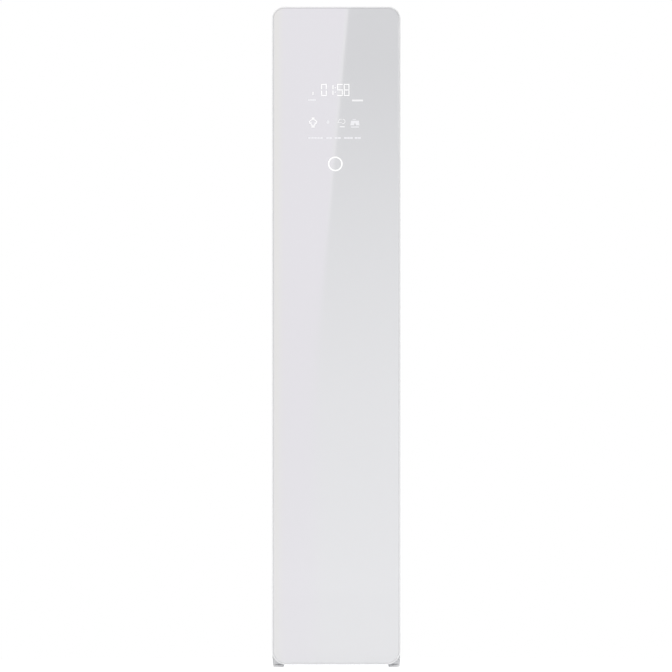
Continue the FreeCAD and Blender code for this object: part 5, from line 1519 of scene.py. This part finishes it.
@dataclass(frozen=True)
class ShakingRail:
    """The rail that shakes the clothes: housing, motor, crank, carriage, bar and hangers.

    Lengths are in metres.
    """

    hook_bend: float = 0.0128
    hook_wire: float = 0.0024
    ball: float = 0.0033
    crown: float = 0.084
    tip_height: float = 0.022
    arch: float = 0.026
    neck: float = 0.008
    arm_end: float = 0.012
    round_end: float = 0.011
    arm_oval: float = 0.6
    arm_rings: int = 48
    ridge_count: int = 8
    ridge_start: float = 0.100
    ridge_pitch: float = 0.0095
    tail: float = 0.068

    def build(self) -> None:
        """Dress the rail and what moves it."""
        Bench.soften(
            drive_housing=0.0008, rail_guides=0.0006, rail_carriage=0.0012, rail_crank=0.0008
        )
        self.motor()
        self.bar()
        for node in ("hanger_a", "hanger_b"):
            self.hanger(node)

    @staticmethod
    def motor() -> None:
        """The motor, with cooling ridges on top of its case."""
        Bench.soften(rail_motor=0.0010)
        _, high, (x, y, _) = room("rail_motor")
        ends = zip(circle(x, y, 0.012, 8, 0.5), circle(x, y, 0.022, 8, 0.5))
        ribs = [Bench.sweep(lifted(pair, Plane.TOP, high.z - 0.0002), 0.0010, 4) for pair in ends]
        Bench.mount("motor_ribs", ribs, "rail_motor")

    @staticmethod
    def bar() -> None:
        """The hanging bar, with round end caps."""
        Bench.soften(hanger_rail=0.0006)
        low, high, (_, y, z) = room("hanger_rail")
        r = (high.z - low.z) / 2
        profile = [
            (0.0, 0.0016), (r * 0.5, 0.0014), (r * 0.8, 0.0008), (r * 0.96, -0.0002),
            (r * 1.03, -0.0014), (r * 1.03, -0.0090), (r * 0.99, -0.0096), (r * 0.9, -0.0096),
            (0.0, -0.0096),
        ]
        caps = [
            Bench.lathe(profile, (high.x * side, y, z), Plane.SIDE, way=side) for side in (-1, 1)
        ]
        Bench.mount("bar_caps", caps, "hanger_rail")

    def hanger(self, node: str) -> None:
        """A moulded hanger with rounded arms, a wire hook, a collar and non-slip ridges.

        Args:
            node: the hanger's node.
        """
        low, high, (x, middle, _) = room(node)
        half, thick = (high.y - low.y) / 2, (high.x - low.x) / 2
        top, tip = low.z + self.crown, low.z + self.tip_height

        def crest(along: float) -> float:
            """The height of the arms' upper line."""
            return top - (top - tip) * max(0.0, abs(along) - self.neck) / (half - self.neck)

        def under(along: float) -> float:
            """The height of the arms' lower line."""
            drop = min(1.0, abs(along) / (half - self.arm_end)) ** 1.05
            return top - self.arch - (top - self.arch - low.z) * drop

        rings = []
        for step in range(-self.arm_rings, self.arm_rings + 1):
            along = half * math.sin(math.pi / 2 * step / self.arm_rings)
            end = max(0.0, (abs(along) - half + self.round_end) / self.round_end)
            shrink = math.sqrt(max(0.004, 1.0 - min(1.0, end) ** 2))
            centre = (crest(along) + under(along)) / 2
            tall = (crest(along) - under(along)) / 2 * (0.45 + 0.55 * shrink)
            wide = thick * (0.94 + 0.06 * math.cos(math.pi * along / half)) * shrink
            ring = [
                [math.copysign(abs(part) ** self.arm_oval, part) for part in spot]
                for spot in circle(0.0, 0.0, 1.0, 28)
            ]
            outline = [(x + wide * u, centre + tall * v) for u, v in ring]
            rings.append(lifted(outline, Plane.FRONT, middle + along))
        parts = [Bench.cast(Bench.skin(rings))]
        for way in (-1, 1):
            for step in range(self.ridge_count):
                along = self.ridge_start + step * self.ridge_pitch
                spot = (middle + way * along, crest(along) - 0.0002)
                parts.append(Bench.rod(spot, Plane.SIDE, (x - 0.0040, x + 0.0040), 0.0007, 3))
        collar = [
            (0.0, -0.004), (0.0062, -0.004), (0.0060, 0.0005), (0.0050, 0.0022),
            (0.0042, 0.0052), (0.0036, 0.0060), (0.0, 0.0060),
        ]
        parts.append(Bench.lathe(collar, (x, middle, top), Plane.TOP, 32))
        Bench.mount(node + "_moulded", parts, node, True)
        self.hook(node, x)

    def hook(self, node: str, x: float) -> None:
        """The hanger's steel hook, bent round the bar, with a ball on its end.

        Args:
            node: the hanger's node.
            x: where the hanger is on the bar.
        """
        _, _, (_, y, z) = room("hanger_rail")
        bend = arc(y, z, self.hook_bend, -5, 225, 30)
        leave_y, leave_z = bend[-1]
        lower = (y - leave_y) / (1 - math.cos(math.pi / 4))
        below = leave_z - lower * math.sin(math.pi / 4)
        bend += arc(y - lower, below, lower, 45, 0, 8)[1:]
        path = lifted([*bend, (y, z - self.tail)], Plane.SIDE, x)
        wire = Bench.sweep(path, self.hook_wire)
        Bench.mount(node + "_wire", [wire], node, finish=Finishes.hook)
        profile = arc(0.0, 0.0, self.ball, -90, 90, 10)
        Bench.mount(node + "_ball", [Bench.lathe(profile, path[0], Plane.TOP, 20)], node)


@dataclass(frozen=True)
class TankBay:
    """The two water tanks with their lids, and the valves that they stand on.

    Lengths are in metres.
    """

    bead: float = 0.0011
    border_inset: float = 0.016
    border_drop: float = 0.018
    border_corner: float = 0.010
    tick_inset: float = 0.026
    tick_low: float = 0.040
    tick_count: int = 6
    tick_pitch: float = 0.036
    long_tick: float = 0.016
    short_tick: float = 0.009
    latch_half: float = 0.015
    latch_ridges: int = 5
    lid_rise: float = 0.0043
    rim_inset: float = 0.007
    rim_corner: float = 0.008
    cap_shift: float = 0.046
    cap_inset: float = 0.022
    sign_lift: float = 0.020
    drop_radius: float = 0.0080
    drop_tip: float = 0.0170
    line_above: float = 0.0220
    line_below: float = -0.0140
    line_half: float = 0.0120
    line_thick: float = 0.0020
    sign_sink: float = 0.0004
    sign_rise: float = 0.0006

    def build(self) -> None:
        """Dress both tanks and the valves under them."""
        for side, way in (("supply", 1), ("drain", -1)):
            Bench.soften(**{side + "_tank": 0.0012})
            self.window(side + "_tank", way)
            Bench.soften(**{side + "_tank_lid": 0.0010})
            self.lid_details(side, way)
        Bench.soften(tank_valves=0.0006)
        self.valve_seals()

    def window(self, tank: str, way: int) -> None:
        """The raised border, the level marks and the drop sign on a tank's front.

        Args:
            tank: the tank's node.
            way: +1 where the sign's line is above the drop, -1 where it is below.
        """
        low, high, (middle, _, centre) = room(tank)
        half, face = (high.x - low.x) / 2, low.y
        inset = self.border_inset
        outline = rounded_rectangle(
            half - inset, low.z + inset, high.z - self.border_drop, self.border_corner, 8, middle
        )
        parts = [Bench.bead(outline, Plane.FRONT, face, self.bead, 4)]
        right = middle + half - self.tick_inset
        for step in range(self.tick_count):
            ends = (0, self.tick_count - 1)
            span = (right - (self.long_tick if step in ends else self.short_tick), right)
            spot = (face, low.z + self.tick_low + step * self.tick_pitch)
            parts.append(Bench.rod(spot, Plane.SIDE, span, 0.0008, 3))
        Bench.mount(tank + "_border", parts, tank)
        centre += self.sign_lift
        drop = arc(middle, centre, self.drop_radius, -214, 34, 20)
        drop.append((middle, centre + self.drop_tip))
        level = centre + (self.line_above if way > 0 else self.line_below)
        thick = self.line_thick / 2
        line = rounded_rectangle(self.line_half, level - thick, level + thick, 0.0009, 4, middle)
        span = (face - self.sign_rise, face + self.sign_sink)
        sign = [Bench.plate(outline, Plane.FRONT, span, 0.0002) for outline in (drop, line)]
        Bench.mount(tank + "_sign", sign, tank + "_lid", body=BODIES[tank])

    def lid_details(self, side: str, way: int) -> None:
        """The two press latches, the rim and the vent cap on a tank's lid.

        Args:
            side: supply or drain.
            way: the side of the lid that the vent cap is on, +1 or -1.
        """
        lid = side + "_tank_lid"
        low, high, (middle, _, _) = room(lid)
        top = room(side + "_tank")[1].z + self.lid_rise
        half = self.latch_half
        parts = []
        for end, y in ((-1, low.y), (1, high.y)):
            parts.append(Bench.block(
                (middle - half, y - end * 0.0006, top - 0.0008),
                (middle + half, y - end * 0.0100, top + 0.0016), 0.0007,
            ))
            for step in range(self.latch_ridges):
                spot = (y - end * (0.0024 + step * 0.0014), top + 0.0016)
                span = (middle - 0.010, middle + 0.010)
                parts.append(Bench.rod(spot, Plane.SIDE, span, 0.0004, 2))
        inset = self.rim_inset
        rim = rounded_rectangle(
            (high.x - low.x) / 2 - inset, low.y + inset, high.y - inset, self.rim_corner, 8, middle
        )
        parts.append(Bench.bead(rim, Plane.TOP, top, 0.0008, 3))
        cap = [
            (0.0, 0.0030), (0.0090, 0.0030), (0.0100, 0.0026), (0.0106, 0.0016),
            (0.0108, -0.0002), (0.0, -0.0002),
        ]
        place = (middle + way * self.cap_shift, high.y - self.cap_inset, top)
        parts.append(Bench.lathe(cap, place, Plane.TOP, 40))
        Bench.mount(side + "_lid_parts", parts, lid)

    @staticmethod
    def valve_seals() -> None:
        """The rubber rings round the valves in the bay's floor."""
        rings = [
            Bench.bead(
                circle(x, y, (high.x - low.x) / 2, 40), Plane.TOP, high.z - 0.0042, 0.0007, 3
            )
            for low, high, (x, y, _) in islands("tank_valves")
        ]
        Bench.mount("valve_rings", rings, "compressor_grommets")


@dataclass(frozen=True)
class BoardRow:
    """A row of like parts on the control board. Lengths are in metres."""

    count: int
    start: float
    pitch: float
    width: float
    level: float
    height: float
    rise: float
    edge: float

    def build(self, face: float, side: float) -> list[Mesh]:
        """Make the parts.

        Args:
            face: the board's face.
            side: the board's edge, where the row starts.

        Returns:
            Their meshes.
        """
        made = []
        for step in range(self.count):
            y, top = side + self.start + step * self.pitch, self.level + self.height
            corner, other = (face, y, self.level), (face + self.rise, y + self.width, top)
            made.append(Bench.block(corner, other, self.edge))
        return made


@dataclass(frozen=True)
class MachineRoom:
    """What makes the steam and moves and dries the air, below the cabin.

    Lengths are in metres.
    """

    fin_pitch: float = 0.0030
    fin_thick: float = 0.0004
    fin_rise: float = 0.0009
    fin_margin: float = 0.006
    duct_columns: int = 7
    duct_rows: int = 3
    shell_radius: float = 0.061
    seam_height: float = 0.52
    seam_play: float = 0.0002
    seam_seed: int = 7
    board_seed: int = 11
    pipe_ends: Flat = (0.0015, 0.011)
    round_share: Flat = (0.6, 1.1)
    band_step: float = 1.2
    most_rings: int = 24
    pump_rings: int = 5
    board_face: float = 0.0016
    can_count: int = 5
    chip_count: int = 6
    chip_start: float = 0.010
    chip_pitch: float = 0.0145
    pin_count: int = 5
    pin_pitch: float = 0.0018
    light_rows: int = 6
    light_columns: int = 10
    light_pitch: Flat = (0.0125, 0.0070)
    driver_count: int = 5
    driver_pitch: float = 0.031

    def build(self) -> None:
        """Dress every machine."""
        Bench.soften(
            air_duct=0.0008, fan_scroll=0.0006, fan_motor=0.0008, steam_generator=0.0010,
            water_pumps=0.0008, compressor=0.0012, fan_wheel=0.0004,
        )
        for node in ("evaporator", "condenser"):
            self.fins(node)
        self.duct_ribs()
        self.compressor_parts()
        self.grommets()
        self.generator_bolts()
        self.pump_ribs()
        self.bands("hoses", "hose_clips", "steam_nozzle", 0.0009, 0.0006)
        self.bands("refrigerant_pipes", "braze_rings", "refrigerant_pipes", 0.0008, 0.0003)
        self.circuit()
        self.display_circuit()

    def fins(self, node: str) -> None:
        """The thin fins of a heat exchanger, which stand proud of its tubes' block.

        Args:
            node: the heat exchanger's node.
        """
        low, high, _ = room(node)
        parts = []
        for step in range(int((high.x - low.x - 2 * self.fin_margin) / self.fin_pitch)):
            x = low.x + self.fin_margin + (step + 0.5) * self.fin_pitch
            parts.append(Bench.block(
                (x - self.fin_thick / 2, low.y - self.fin_rise, low.z + 0.001),
                (x + self.fin_thick / 2, high.y + self.fin_rise, high.z - 0.001),
            ))
        for x in (low.x + 0.003, high.x - 0.003):
            parts.append(Bench.block(
                (x - 0.0008, low.y - 0.0014, low.z), (x + 0.0008, high.y + 0.0014, high.z), 0.0004
            ))
        Bench.mount(node + "_fins", parts, node)

    def duct_ribs(self) -> None:
        """The ribs that stiffen the front and rear of the air duct."""
        low, high, _ = room("air_duct")
        parts = []
        for face, way in ((low.y, -1), (high.y, 1)):
            sunk = face - way * 0.0004
            for x in spread(low.x, high.x, self.duct_columns):
                parts.append(Bench.block(
                    (x - 0.001, face + way * 0.0024, low.z + 0.006),
                    (x + 0.001, sunk, high.z - 0.012), 0.0008,
                ))
            for step in range(self.duct_rows):
                z = low.z + (high.z - low.z) * (step + 0.7) / (self.duct_rows + 0.4)
                parts.append(Bench.block(
                    (low.x + 0.006, face + way * 0.0018, z - 0.001),
                    (high.x - 0.006, sunk, z + 0.001), 0.0008,
                ))
        Bench.mount("duct_ribs", parts, "air_duct")

    def compressor_parts(self) -> None:
        """The compressor's weld seam, which is a little uneven, and its filling stub."""
        low, high, _ = room("compressor")
        _, _, (x, y, _) = room("compressor_grommets")
        radius = min(high.y - y, y - low.y, self.shell_radius) - 0.0004
        z = low.z + (high.z - low.z) * self.seam_height
        rng = random.Random(self.seam_seed)
        seam = []
        for u, v in circle(0.0, 0.0, 1.0, 72):
            reach = [radius + rng.uniform(-self.seam_play, self.seam_play) for _ in "xy"]
            seam.append((x + reach[0] * u, y + reach[1] * v))
        seam_bead = Bench.bead(seam, Plane.TOP, z, 0.0019, 3)
        Bench.mount("compressor_seam", [seam_bead], "compressor")
        stub = [
            (0.0, 0.0), (0.0030, 0.0), (0.0030, 0.012), (0.0018, 0.014), (0.0018, 0.020),
            (0.0, 0.020),
        ]
        pipe = Bench.lathe(stub, (x + 0.020, y - 0.024, high.z - 0.016), Plane.TOP, 24)
        Bench.mount("compressor_stub", [pipe], "refrigerant_pipes")

    @staticmethod
    def grommets() -> None:
        """The waisted rubber grommets under the compressor, with a bolt through each."""
        rubbers, bolts = [], []
        for low, high, (x, y, _) in islands("compressor_grommets"):
            r, h = (high.x - low.x) / 2, high.z - low.z
            waist = [
                (0.34, 0.0), (0.92, 0.0), (1.0, 0.05), (1.0, 0.24), (0.93, 0.32), (0.78, 0.40),
                (0.74, 0.5), (0.78, 0.60), (0.93, 0.68), (1.0, 0.76), (1.0, 0.95), (0.92, 1.0),
                (0.34, 1.0), (0.34, 0.0),
            ]
            profile = [(r * radius, h * height) for radius, height in waist]
            rubbers.append(Bench.lathe(profile, (x, y, low.z), Plane.TOP, 40))
            head = ((0.3, 0.0010), (0.52, 0.0010), (0.54, 0.0016), (0.54, 0.0048), (0.48, 0.0054))
            bolt = [(0.0, 0.0), (r * 0.3, 0.0)]
            bolt += [(r * radius, h + height) for radius, height in (*head, (0.0, 0.0054))]
            bolts.append(Bench.lathe(bolt, (x, y, low.z), Plane.TOP, 24))
        Bench.mount("grommet_rubbers", rubbers, "compressor_grommets", True)
        Bench.mount("grommet_bolts", bolts, "panel_screws")

    @staticmethod
    def generator_bolts() -> None:
        """The bolts and the two heater terminals of the steam generator."""
        low, high, (middle, _, centre) = room("steam_generator")
        head = [
            (0.0, 0.0034), (0.0034, 0.0034), (0.0040, 0.0028), (0.0040, 0.0006),
            (0.0056, 0.0006), (0.0056, -0.0004), (0.0, -0.0004),
        ]
        bolts = [
            Bench.lathe(head, (x, low.y, z), Plane.FRONT, 6, -1)
            for x in (low.x + 0.012, high.x - 0.012)
            for z in (low.z + 0.020, centre - 0.010, low.z + 0.110)
        ]
        Bench.mount("generator_bolts", bolts, "panel_screws")
        boss = [
            (0.0, 0.0060), (0.0044, 0.0060), (0.0050, 0.0050), (0.0050, -0.0004), (0.0, -0.0004),
        ]
        tabs = []
        for x in (middle - 0.016, middle + 0.016):
            tabs.append(Bench.block(
                (x - 0.0031, high.y - 0.0004, low.z + 0.030),
                (x + 0.0031, high.y + 0.0120, low.z + 0.0308), 0.0003,
            ))
            tabs.append(Bench.lathe(boss, (x, high.y, low.z + 0.0304), Plane.FRONT, 24))
        Bench.mount("heater_tabs", tabs, "steam_nozzle")

    def pump_ribs(self) -> None:
        """The cooling ribs round each water pump."""
        ribs = []
        for low, high, (x, y, _) in islands("water_pumps"):
            radius = min(high.x - low.x, high.y - low.y) / 2 - 0.0004
            for level in range(self.pump_rings):
                z = low.z + (high.z - low.z) * (0.30 + 0.09 * level)
                ribs.append(Bench.bead(circle(x, y, radius, 40), Plane.TOP, z, 0.0008, 2))
        Bench.mount("pump_ribs", ribs, "water_pumps")

    def bands(self, node: str, name: str, like: str, thick: float, lift: float) -> None:
        """Rings near the flat round ends of pipes: spring clips on hoses, beads of braze on pipes.

        Args:
            node: the frame's node of pipes.
            name: the name of the rings.
            like: a node with their finish.
            thick: the radius of a ring's section.
            lift: how far a ring stands off its pipe.
        """
        shape = copy_of(node)
        caps: dict[tuple, list] = {}
        for face in shape.faces:
            depth = round(face.normal.dot(face.calc_center_median()), 4)
            key = (*(round(value, 2) for value in face.normal), depth)
            caps.setdefault(key, []).append(face)
        (least, most), (thin, full) = self.pipe_ends, self.round_share
        rings = []
        for key, faces in caps.items():
            area = sum(face.calc_area() for face in faces)
            corners = dict.fromkeys(vertex for face in faces for vertex in face.verts)
            centre = sum((vertex.co for vertex in corners), Vector()) / len(corners)
            reach = max((vertex.co - centre).length for vertex in corners)
            round_end = least <= reach <= most and thin < area / (math.pi * reach * reach) < full
            if not round_end or len(rings) == self.most_rings:
                continue
            normal = Vector(key[:3]).normalized()
            side = normal.orthogonal().normalized()
            other = normal.cross(side)
            middle = centre - normal * (reach * self.band_step)
            path = [middle + side * u + other * v for u, v in circle(0.0, 0.0, reach + lift, 28)]
            rings.append(Bench.sweep(path, thick, 2, closed=True))
        shape.free()
        Bench.mount(name, rings, like)

    def circuit(self) -> None:
        """The parts on the control board: capacitors, relays, chips with their pins, sockets."""
        low, high, _ = room("control_board")
        face = low.x + self.board_face
        rng = random.Random(self.board_seed)
        cans, blocks, pins = [], [], []
        for step in range(self.can_count):
            r, h = rng.choice(((0.0040, 0.011), (0.0050, 0.014), (0.0062, 0.015)))
            y, z = low.y + 0.014 + step * 0.0165, low.z + 0.030 + rng.uniform(0.0, 0.004)
            profile = [
                (0.0, 0.0), (r, 0.0), (r, h * 0.12), (r * 0.94, h * 0.17), (r, h * 0.22),
                (r, h * 0.96), (r * 0.92, h), (0.0, h - 0.0003),
            ]
            cans.append(Bench.lathe(profile, (face, y, z), Plane.SIDE, 28))
        relays = BoardRow(
            count=4, start=0.012, pitch=0.021, width=0.0155, level=low.z + 0.060, height=0.0190,
            rise=0.0150, edge=0.0008,
        )
        chips = BoardRow(
            count=self.chip_count, start=self.chip_start, pitch=self.chip_pitch, width=0.0070,
            level=low.z + 0.089, height=0.0095, rise=0.0018, edge=0.0003,
        )
        sockets = BoardRow(
            count=5, start=0.008, pitch=0.0172, width=0.0130, level=high.z - 0.0125,
            height=0.0085, rise=0.0088, edge=0.0005,
        )
        for row in (relays, chips, sockets):
            blocks += row.build(face, low.y)
        for step in range(self.chip_count):
            y = low.y + self.chip_start + step * self.chip_pitch
            for pin in range(self.pin_count):
                z = low.z + 0.0900 + pin * self.pin_pitch
                for edge in (y - 0.0008, y + 0.0070):
                    end = (face + 0.0008, edge + 0.0008, z + 0.0007)
                    pins.append(Bench.block((face, edge, z), end))
        Bench.mount("board_cans", cans, "rail_motor")
        Bench.mount("board_blocks", blocks, "control_box")
        Bench.mount("board_pins", pins, "steam_nozzle")

    def display_circuit(self) -> None:
        """The small lights behind the clock's digits, and the board's own chips."""
        low, high, _ = room("display_board")
        lights = []
        across, down = self.light_pitch
        for row in range(self.light_rows):
            for column in range(self.light_columns):
                x, z = low.x + 0.030 + column * across, high.z - 0.012 - row * down
                lights.append(Bench.block(
                    (x - 0.0010, low.y - 0.00022, z - 0.0006),
                    (x + 0.0010, low.y + 0.0001, z + 0.0006),
                ))
        Bench.mount("clock_lights", lights, "display_symbols", finish=Finishes.faint_glow)
        chips = []
        for step in range(self.driver_count):
            x = low.x + 0.022 + step * self.driver_pitch
            chips.append(Bench.block(
                (x, high.y - 0.0001, low.z + 0.090), (x + 0.010, high.y + 0.0006, low.z + 0.104),
                0.0002,
            ))
        Bench.mount("clock_drivers", chips, "control_box", body="door")


@dataclass(frozen=True)
class Door:
    """The door: edge, inner panel, seal, grip and end caps. Lengths are in metres."""

    rear: float = -0.244
    panel_half: float = 0.141
    panel_low: float = 0.140
    panel_high: float = 1.735
    panel_rise: float = 0.0036
    panel_corner: float = 0.016
    bead_inset: float = 0.018
    bead_margin: float = 0.020
    bead_corner: float = 0.012
    seal_half: float = 0.154
    seal_low: float = 0.126
    seal_high: float = 1.749
    seal_corner: float = 0.010
    rib_count: int = 9
    rib_pitch: float = 0.022
    rib_margin: float = 0.05
    ridge_count: int = 9
    ridge_pitch: float = 0.0022

    def build(self) -> None:
        """Dress every piece of the door."""
        Bench.soften(door_frame=0.0007, door_liner=0.0012)
        self.inner_panel()
        self.seal()
        Bench.soften(door_grip=0.0006, door_end_caps=0.0010)
        self.grip_ridges()

    def inner_panel(self) -> None:
        """The raised panel on the inside of the door, with its bead, ribs and plugged fixings."""
        half, low, high = self.panel_half, self.panel_low, self.panel_high
        face = self.rear + self.panel_rise
        outline = rounded_rectangle(half, low, high, self.panel_corner)
        panel = Bench.plate(outline, Plane.FRONT, (self.rear - 0.0004, face), 0.0030)
        Bench.mount("door_inner_panel", [panel], "door_liner")
        margin = self.bead_margin
        inset = rounded_rectangle(
            half - self.bead_inset, low + margin, high - margin, self.bead_corner
        )
        bead = Bench.bead(inset, Plane.FRONT, face, 0.0011, 4)
        Bench.mount("door_panel_bead", [bead], "door_liner")
        span = (low + self.rib_margin, high - self.rib_margin)
        columns = [(step - self.rib_count // 2) * self.rib_pitch for step in range(self.rib_count)]
        ribs = [Bench.rod((x, face), Plane.TOP, span, 0.0010) for x in columns]
        Bench.mount("door_panel_ribs", ribs, "door_liner")
        plug = [(0.0, 0.0012), (0.0026, 0.0011), (0.0036, 0.0006), (0.0040, 0.0), (0.0040, -0.0008)]
        plugs = [
            Bench.lathe(plug, (side * (half - 0.009), face, z), Plane.FRONT, 32)
            for side in (-1, 1) for z in (low + 0.010, (low + high) / 2, high - 0.010)
        ]
        Bench.mount("door_panel_plugs", plugs, "door_liner")

    def seal(self) -> None:
        """The magnetic seal: a flat foot, a bulb with the magnet in it and two thin lips."""
        beads = []
        for offset, radius, depth in (
            (0.0, 0.00225, 0.00245),  # bulb
            (-0.0026, 0.0019, 0.0021),  # the bulb's inner side
            (0.0046, 0.0012, 0.0014),  # outer lip
            (-0.0050, 0.0009, 0.0030),  # inner lip
            (0.0030, 0.0010, 0.0010),  # foot, outer edge
            (-0.0046, 0.0011, 0.0011),  # foot, inner edge
        ):
            outline = rounded_rectangle(
                self.seal_half + offset, self.seal_low - offset, self.seal_high + offset,
                self.seal_corner + offset, 10,
            )
            beads.append(Bench.bead(outline, Plane.FRONT, self.rear + depth, radius, 5))
        Bench.mount("door_seal", beads, "door_gasket", True)

    def grip_ridges(self) -> None:
        """The fine ridges for the fingers inside the grip."""
        low, high, _ = room("door_grip")
        ridges = []
        for step in range(self.ridge_count):
            spot = (high.x - 0.0040, low.y + 0.008 + step * self.ridge_pitch)
            ridges.append(Bench.rod(spot, Plane.TOP, (low.z + 0.02, high.z - 0.02), 0.0005, 3))
        Bench.mount("grip_ridges", ridges, "door_grip")


@dataclass(frozen=True)
class ScreenPrint:
    """The lit signs on the door's glass, above and below the clock.

    Places are in metres from the middle of the door and from the floor.
    """

    face: float = -0.2897
    ink: float = 0.00018
    label_level: float = 1.4825
    label_height: float = 0.0052
    dash: float = 0.0085
    shirt_place: Flat = (-0.0649, 1.5268)
    drop_place: Flat = (-0.0230, 1.5270)
    hanger_place: Flat = (0.0150, 1.5290)
    trousers_place: Flat = (0.0525, 1.5250)
    labels: tuple[Flat, ...] = (
        (-0.05796, 0.042), (-0.02016, 0.0168), (0.00434, 0.0182), (0.03444, 0.0252),
        (0.06034, 0.0182),
    )

    def build(self) -> None:
        """Print every sign."""
        self.print_on("clock_signs", self.shirt(*self.shirt_place), Finishes.glow)
        self.print_on("timer_bar", [
            self.bar(-0.0650, 1.6072, 0.0040, 0.0090, 0.0012),
            self.bar(0.0596, 1.5875, 0.0310, 0.0052, 0.0010),
            *self.hanger(*self.hanger_place),
            self.bar(0.0168, 1.5140, 0.0140, 0.0034, 0.0008),
        ], Finishes.soft_glow)
        self.print_on("programme_signs", [
            self.bar(-0.0678, 1.5889, 0.0230, 0.0052, 0.0010),
            self.drop(*self.drop_place),
            *self.trousers(*self.trousers_place),
            *self.dashes(),
        ], Finishes.faint_glow)

    @staticmethod
    def print_on(name: str, signs: Sequence[Mesh], finish: Finish) -> None:
        """Print signs on the door in one light."""
        Bench.mount(name, signs, "display_symbols", finish=finish)

    def flat(self, outline: Sequence[Flat]) -> Mesh:
        """A sign of any outline, as thick as the print."""
        return Bench.plate(outline, Plane.FRONT, (self.face - self.ink, self.face))

    def bar(self, x: float, z: float, width: float, height: float, round_: float) -> Mesh:
        """A short bar with round corners.

        Args:
            x: its middle.
            z: its middle height.
            width: its width.
            height: its height.
            round_: the radius of its corners.

        Returns:
            Its mesh.
        """
        half = height / 2
        return self.flat(rounded_rectangle(width / 2, z - half, z + half, round_, 3, x))

    def ribbon(self, points: Sequence[Flat], width: float, closed: bool = False) -> Mesh:
        """A stroke along a bent path, with mitred corners.

        Args:
            points: the corners of its middle line.
            width: its width.
            closed: whether it comes back to its start.

        Returns:
            Its mesh.
        """
        spots = [Vector(point) for point in points]
        rings = []
        for step, here in enumerate(spots):
            ways = []
            if closed or step:
                ways.append((here - spots[step - 1]).normalized())
            if closed or step < len(spots) - 1:
                ways.append((spots[(step + 1) % len(spots)] - here).normalized())
            along = sum(ways, Vector((0.0, 0.0))).normalized()
            across = Vector((-along.y, along.x)) * (width / 2 / max(0.5, along.dot(ways[0])))
            sides = [tuple(here + across), tuple(here - across)]
            back = lifted(sides, Plane.FRONT, self.face - self.ink)
            rings.append(back + lifted(reversed(sides), Plane.FRONT, self.face))
        return Bench.cast(Bench.skin(rings, closed))

    def shirt(self, x: float, z: float) -> list[Mesh]:
        """A short-sleeved shirt, drawn as its outline, with its collar and hem.

        Args:
            x: its middle.
            z: its middle height.

        Returns:
            Its meshes.
        """
        half = [
            (0.0030, 0.0070), (0.0050, 0.0062), (0.0104, 0.0020), (0.0088, -0.0034),
            (0.0056, -0.0018), (0.0050, -0.0086),
        ]
        corners = [(x + u, z + v) for u, v in half] + [(x - u, z + v) for u, v in reversed(half)]
        return [
            self.ribbon(corners, 0.0020, closed=True),
            self.bar(x, z + 0.0112, 0.0078, 0.0034, 0.0008),
            self.bar(x, z - 0.0132, 0.0092, 0.0030, 0.0008),
        ]

    def drop(self, x: float, z: float) -> Mesh:
        """A drop of water."""
        return self.flat([*arc(x, z - 0.0012, 0.0042, -210, 30, 16), (x, z + 0.0072)])

    def hanger(self, x: float, z: float) -> list[Mesh]:
        """A coat hanger: the hook that curls round on the right, and its bar and shoulders.

        Args:
            x: its middle.
            z: its middle height.

        Returns:
            Its meshes.
        """
        curl = [
            (x + 0.0040 + 0.0058 * u, z - 0.0002 + 0.0060 * v)
            for u, v in arc(0.0, 0.0, 1.0, 100, -115, 16)
        ]
        shoulders = [(0.0010, -0.0036), (-0.0102, -0.0034), (-0.0056, 0.0060), (0.0004, 0.0060)]
        line = [(x + u, z + v) for u, v in shoulders]
        return [self.ribbon(curl, 0.0019), self.ribbon(line, 0.0018)]

    def trousers(self, x: float, z: float) -> list[Mesh]:
        """A pair of trousers under a bar, and the bar below them.

        Args:
            x: its middle.
            z: its middle height.

        Returns:
            Its meshes.
        """
        outline = [
            (-0.0110, 0.0060), (0.0110, 0.0060), (0.0130, -0.0072), (0.0030, -0.0072),
            (0.0, 0.0012), (-0.0030, -0.0072), (-0.0130, -0.0072),
        ]
        return [
            self.flat([(x + u, z + v) for u, v in outline]),
            self.bar(x - 0.0020, z + 0.0096, 0.0100, 0.0020, 0.0006),
            self.bar(x, z - 0.0118, 0.0224, 0.0030, 0.0008),
        ]

    def dashes(self) -> list[Mesh]:
        """The labels as plain dashes, as no wording goes on the glass.

        Returns:
            Their meshes.
        """
        made = []
        for middle, width in self.labels:
            count = max(2, round(width / self.dash))
            for x in spread(middle - width / 2, middle + width / 2, count):
                size = (width / count * 0.9, self.label_height)
                made.append(self.bar(x, self.label_level, *size, 0.0006))
        return made


def main() -> None:
    """Build the studio, then the closet from the outside in."""
    logging.basicConfig(level=logging.INFO, format="%(name)s: %(message)s")
    Studio().build()
    for node, finish in NODE_FINISHES.items():
        materials = frame["nodes"][node].data.materials
        materials.clear()
        materials.append(finish.material())
    for assembly in (
        Cabinet(), Cabin(), ShakingRail(), TankBay(), MachineRoom(), Foot("left"), Foot("right"),
        Door(), ScreenPrint(),
    ):
        assembly.build()
        LOG.info("%s dressed", type(assembly).__name__)


if __name__ == "__main__":
    main()
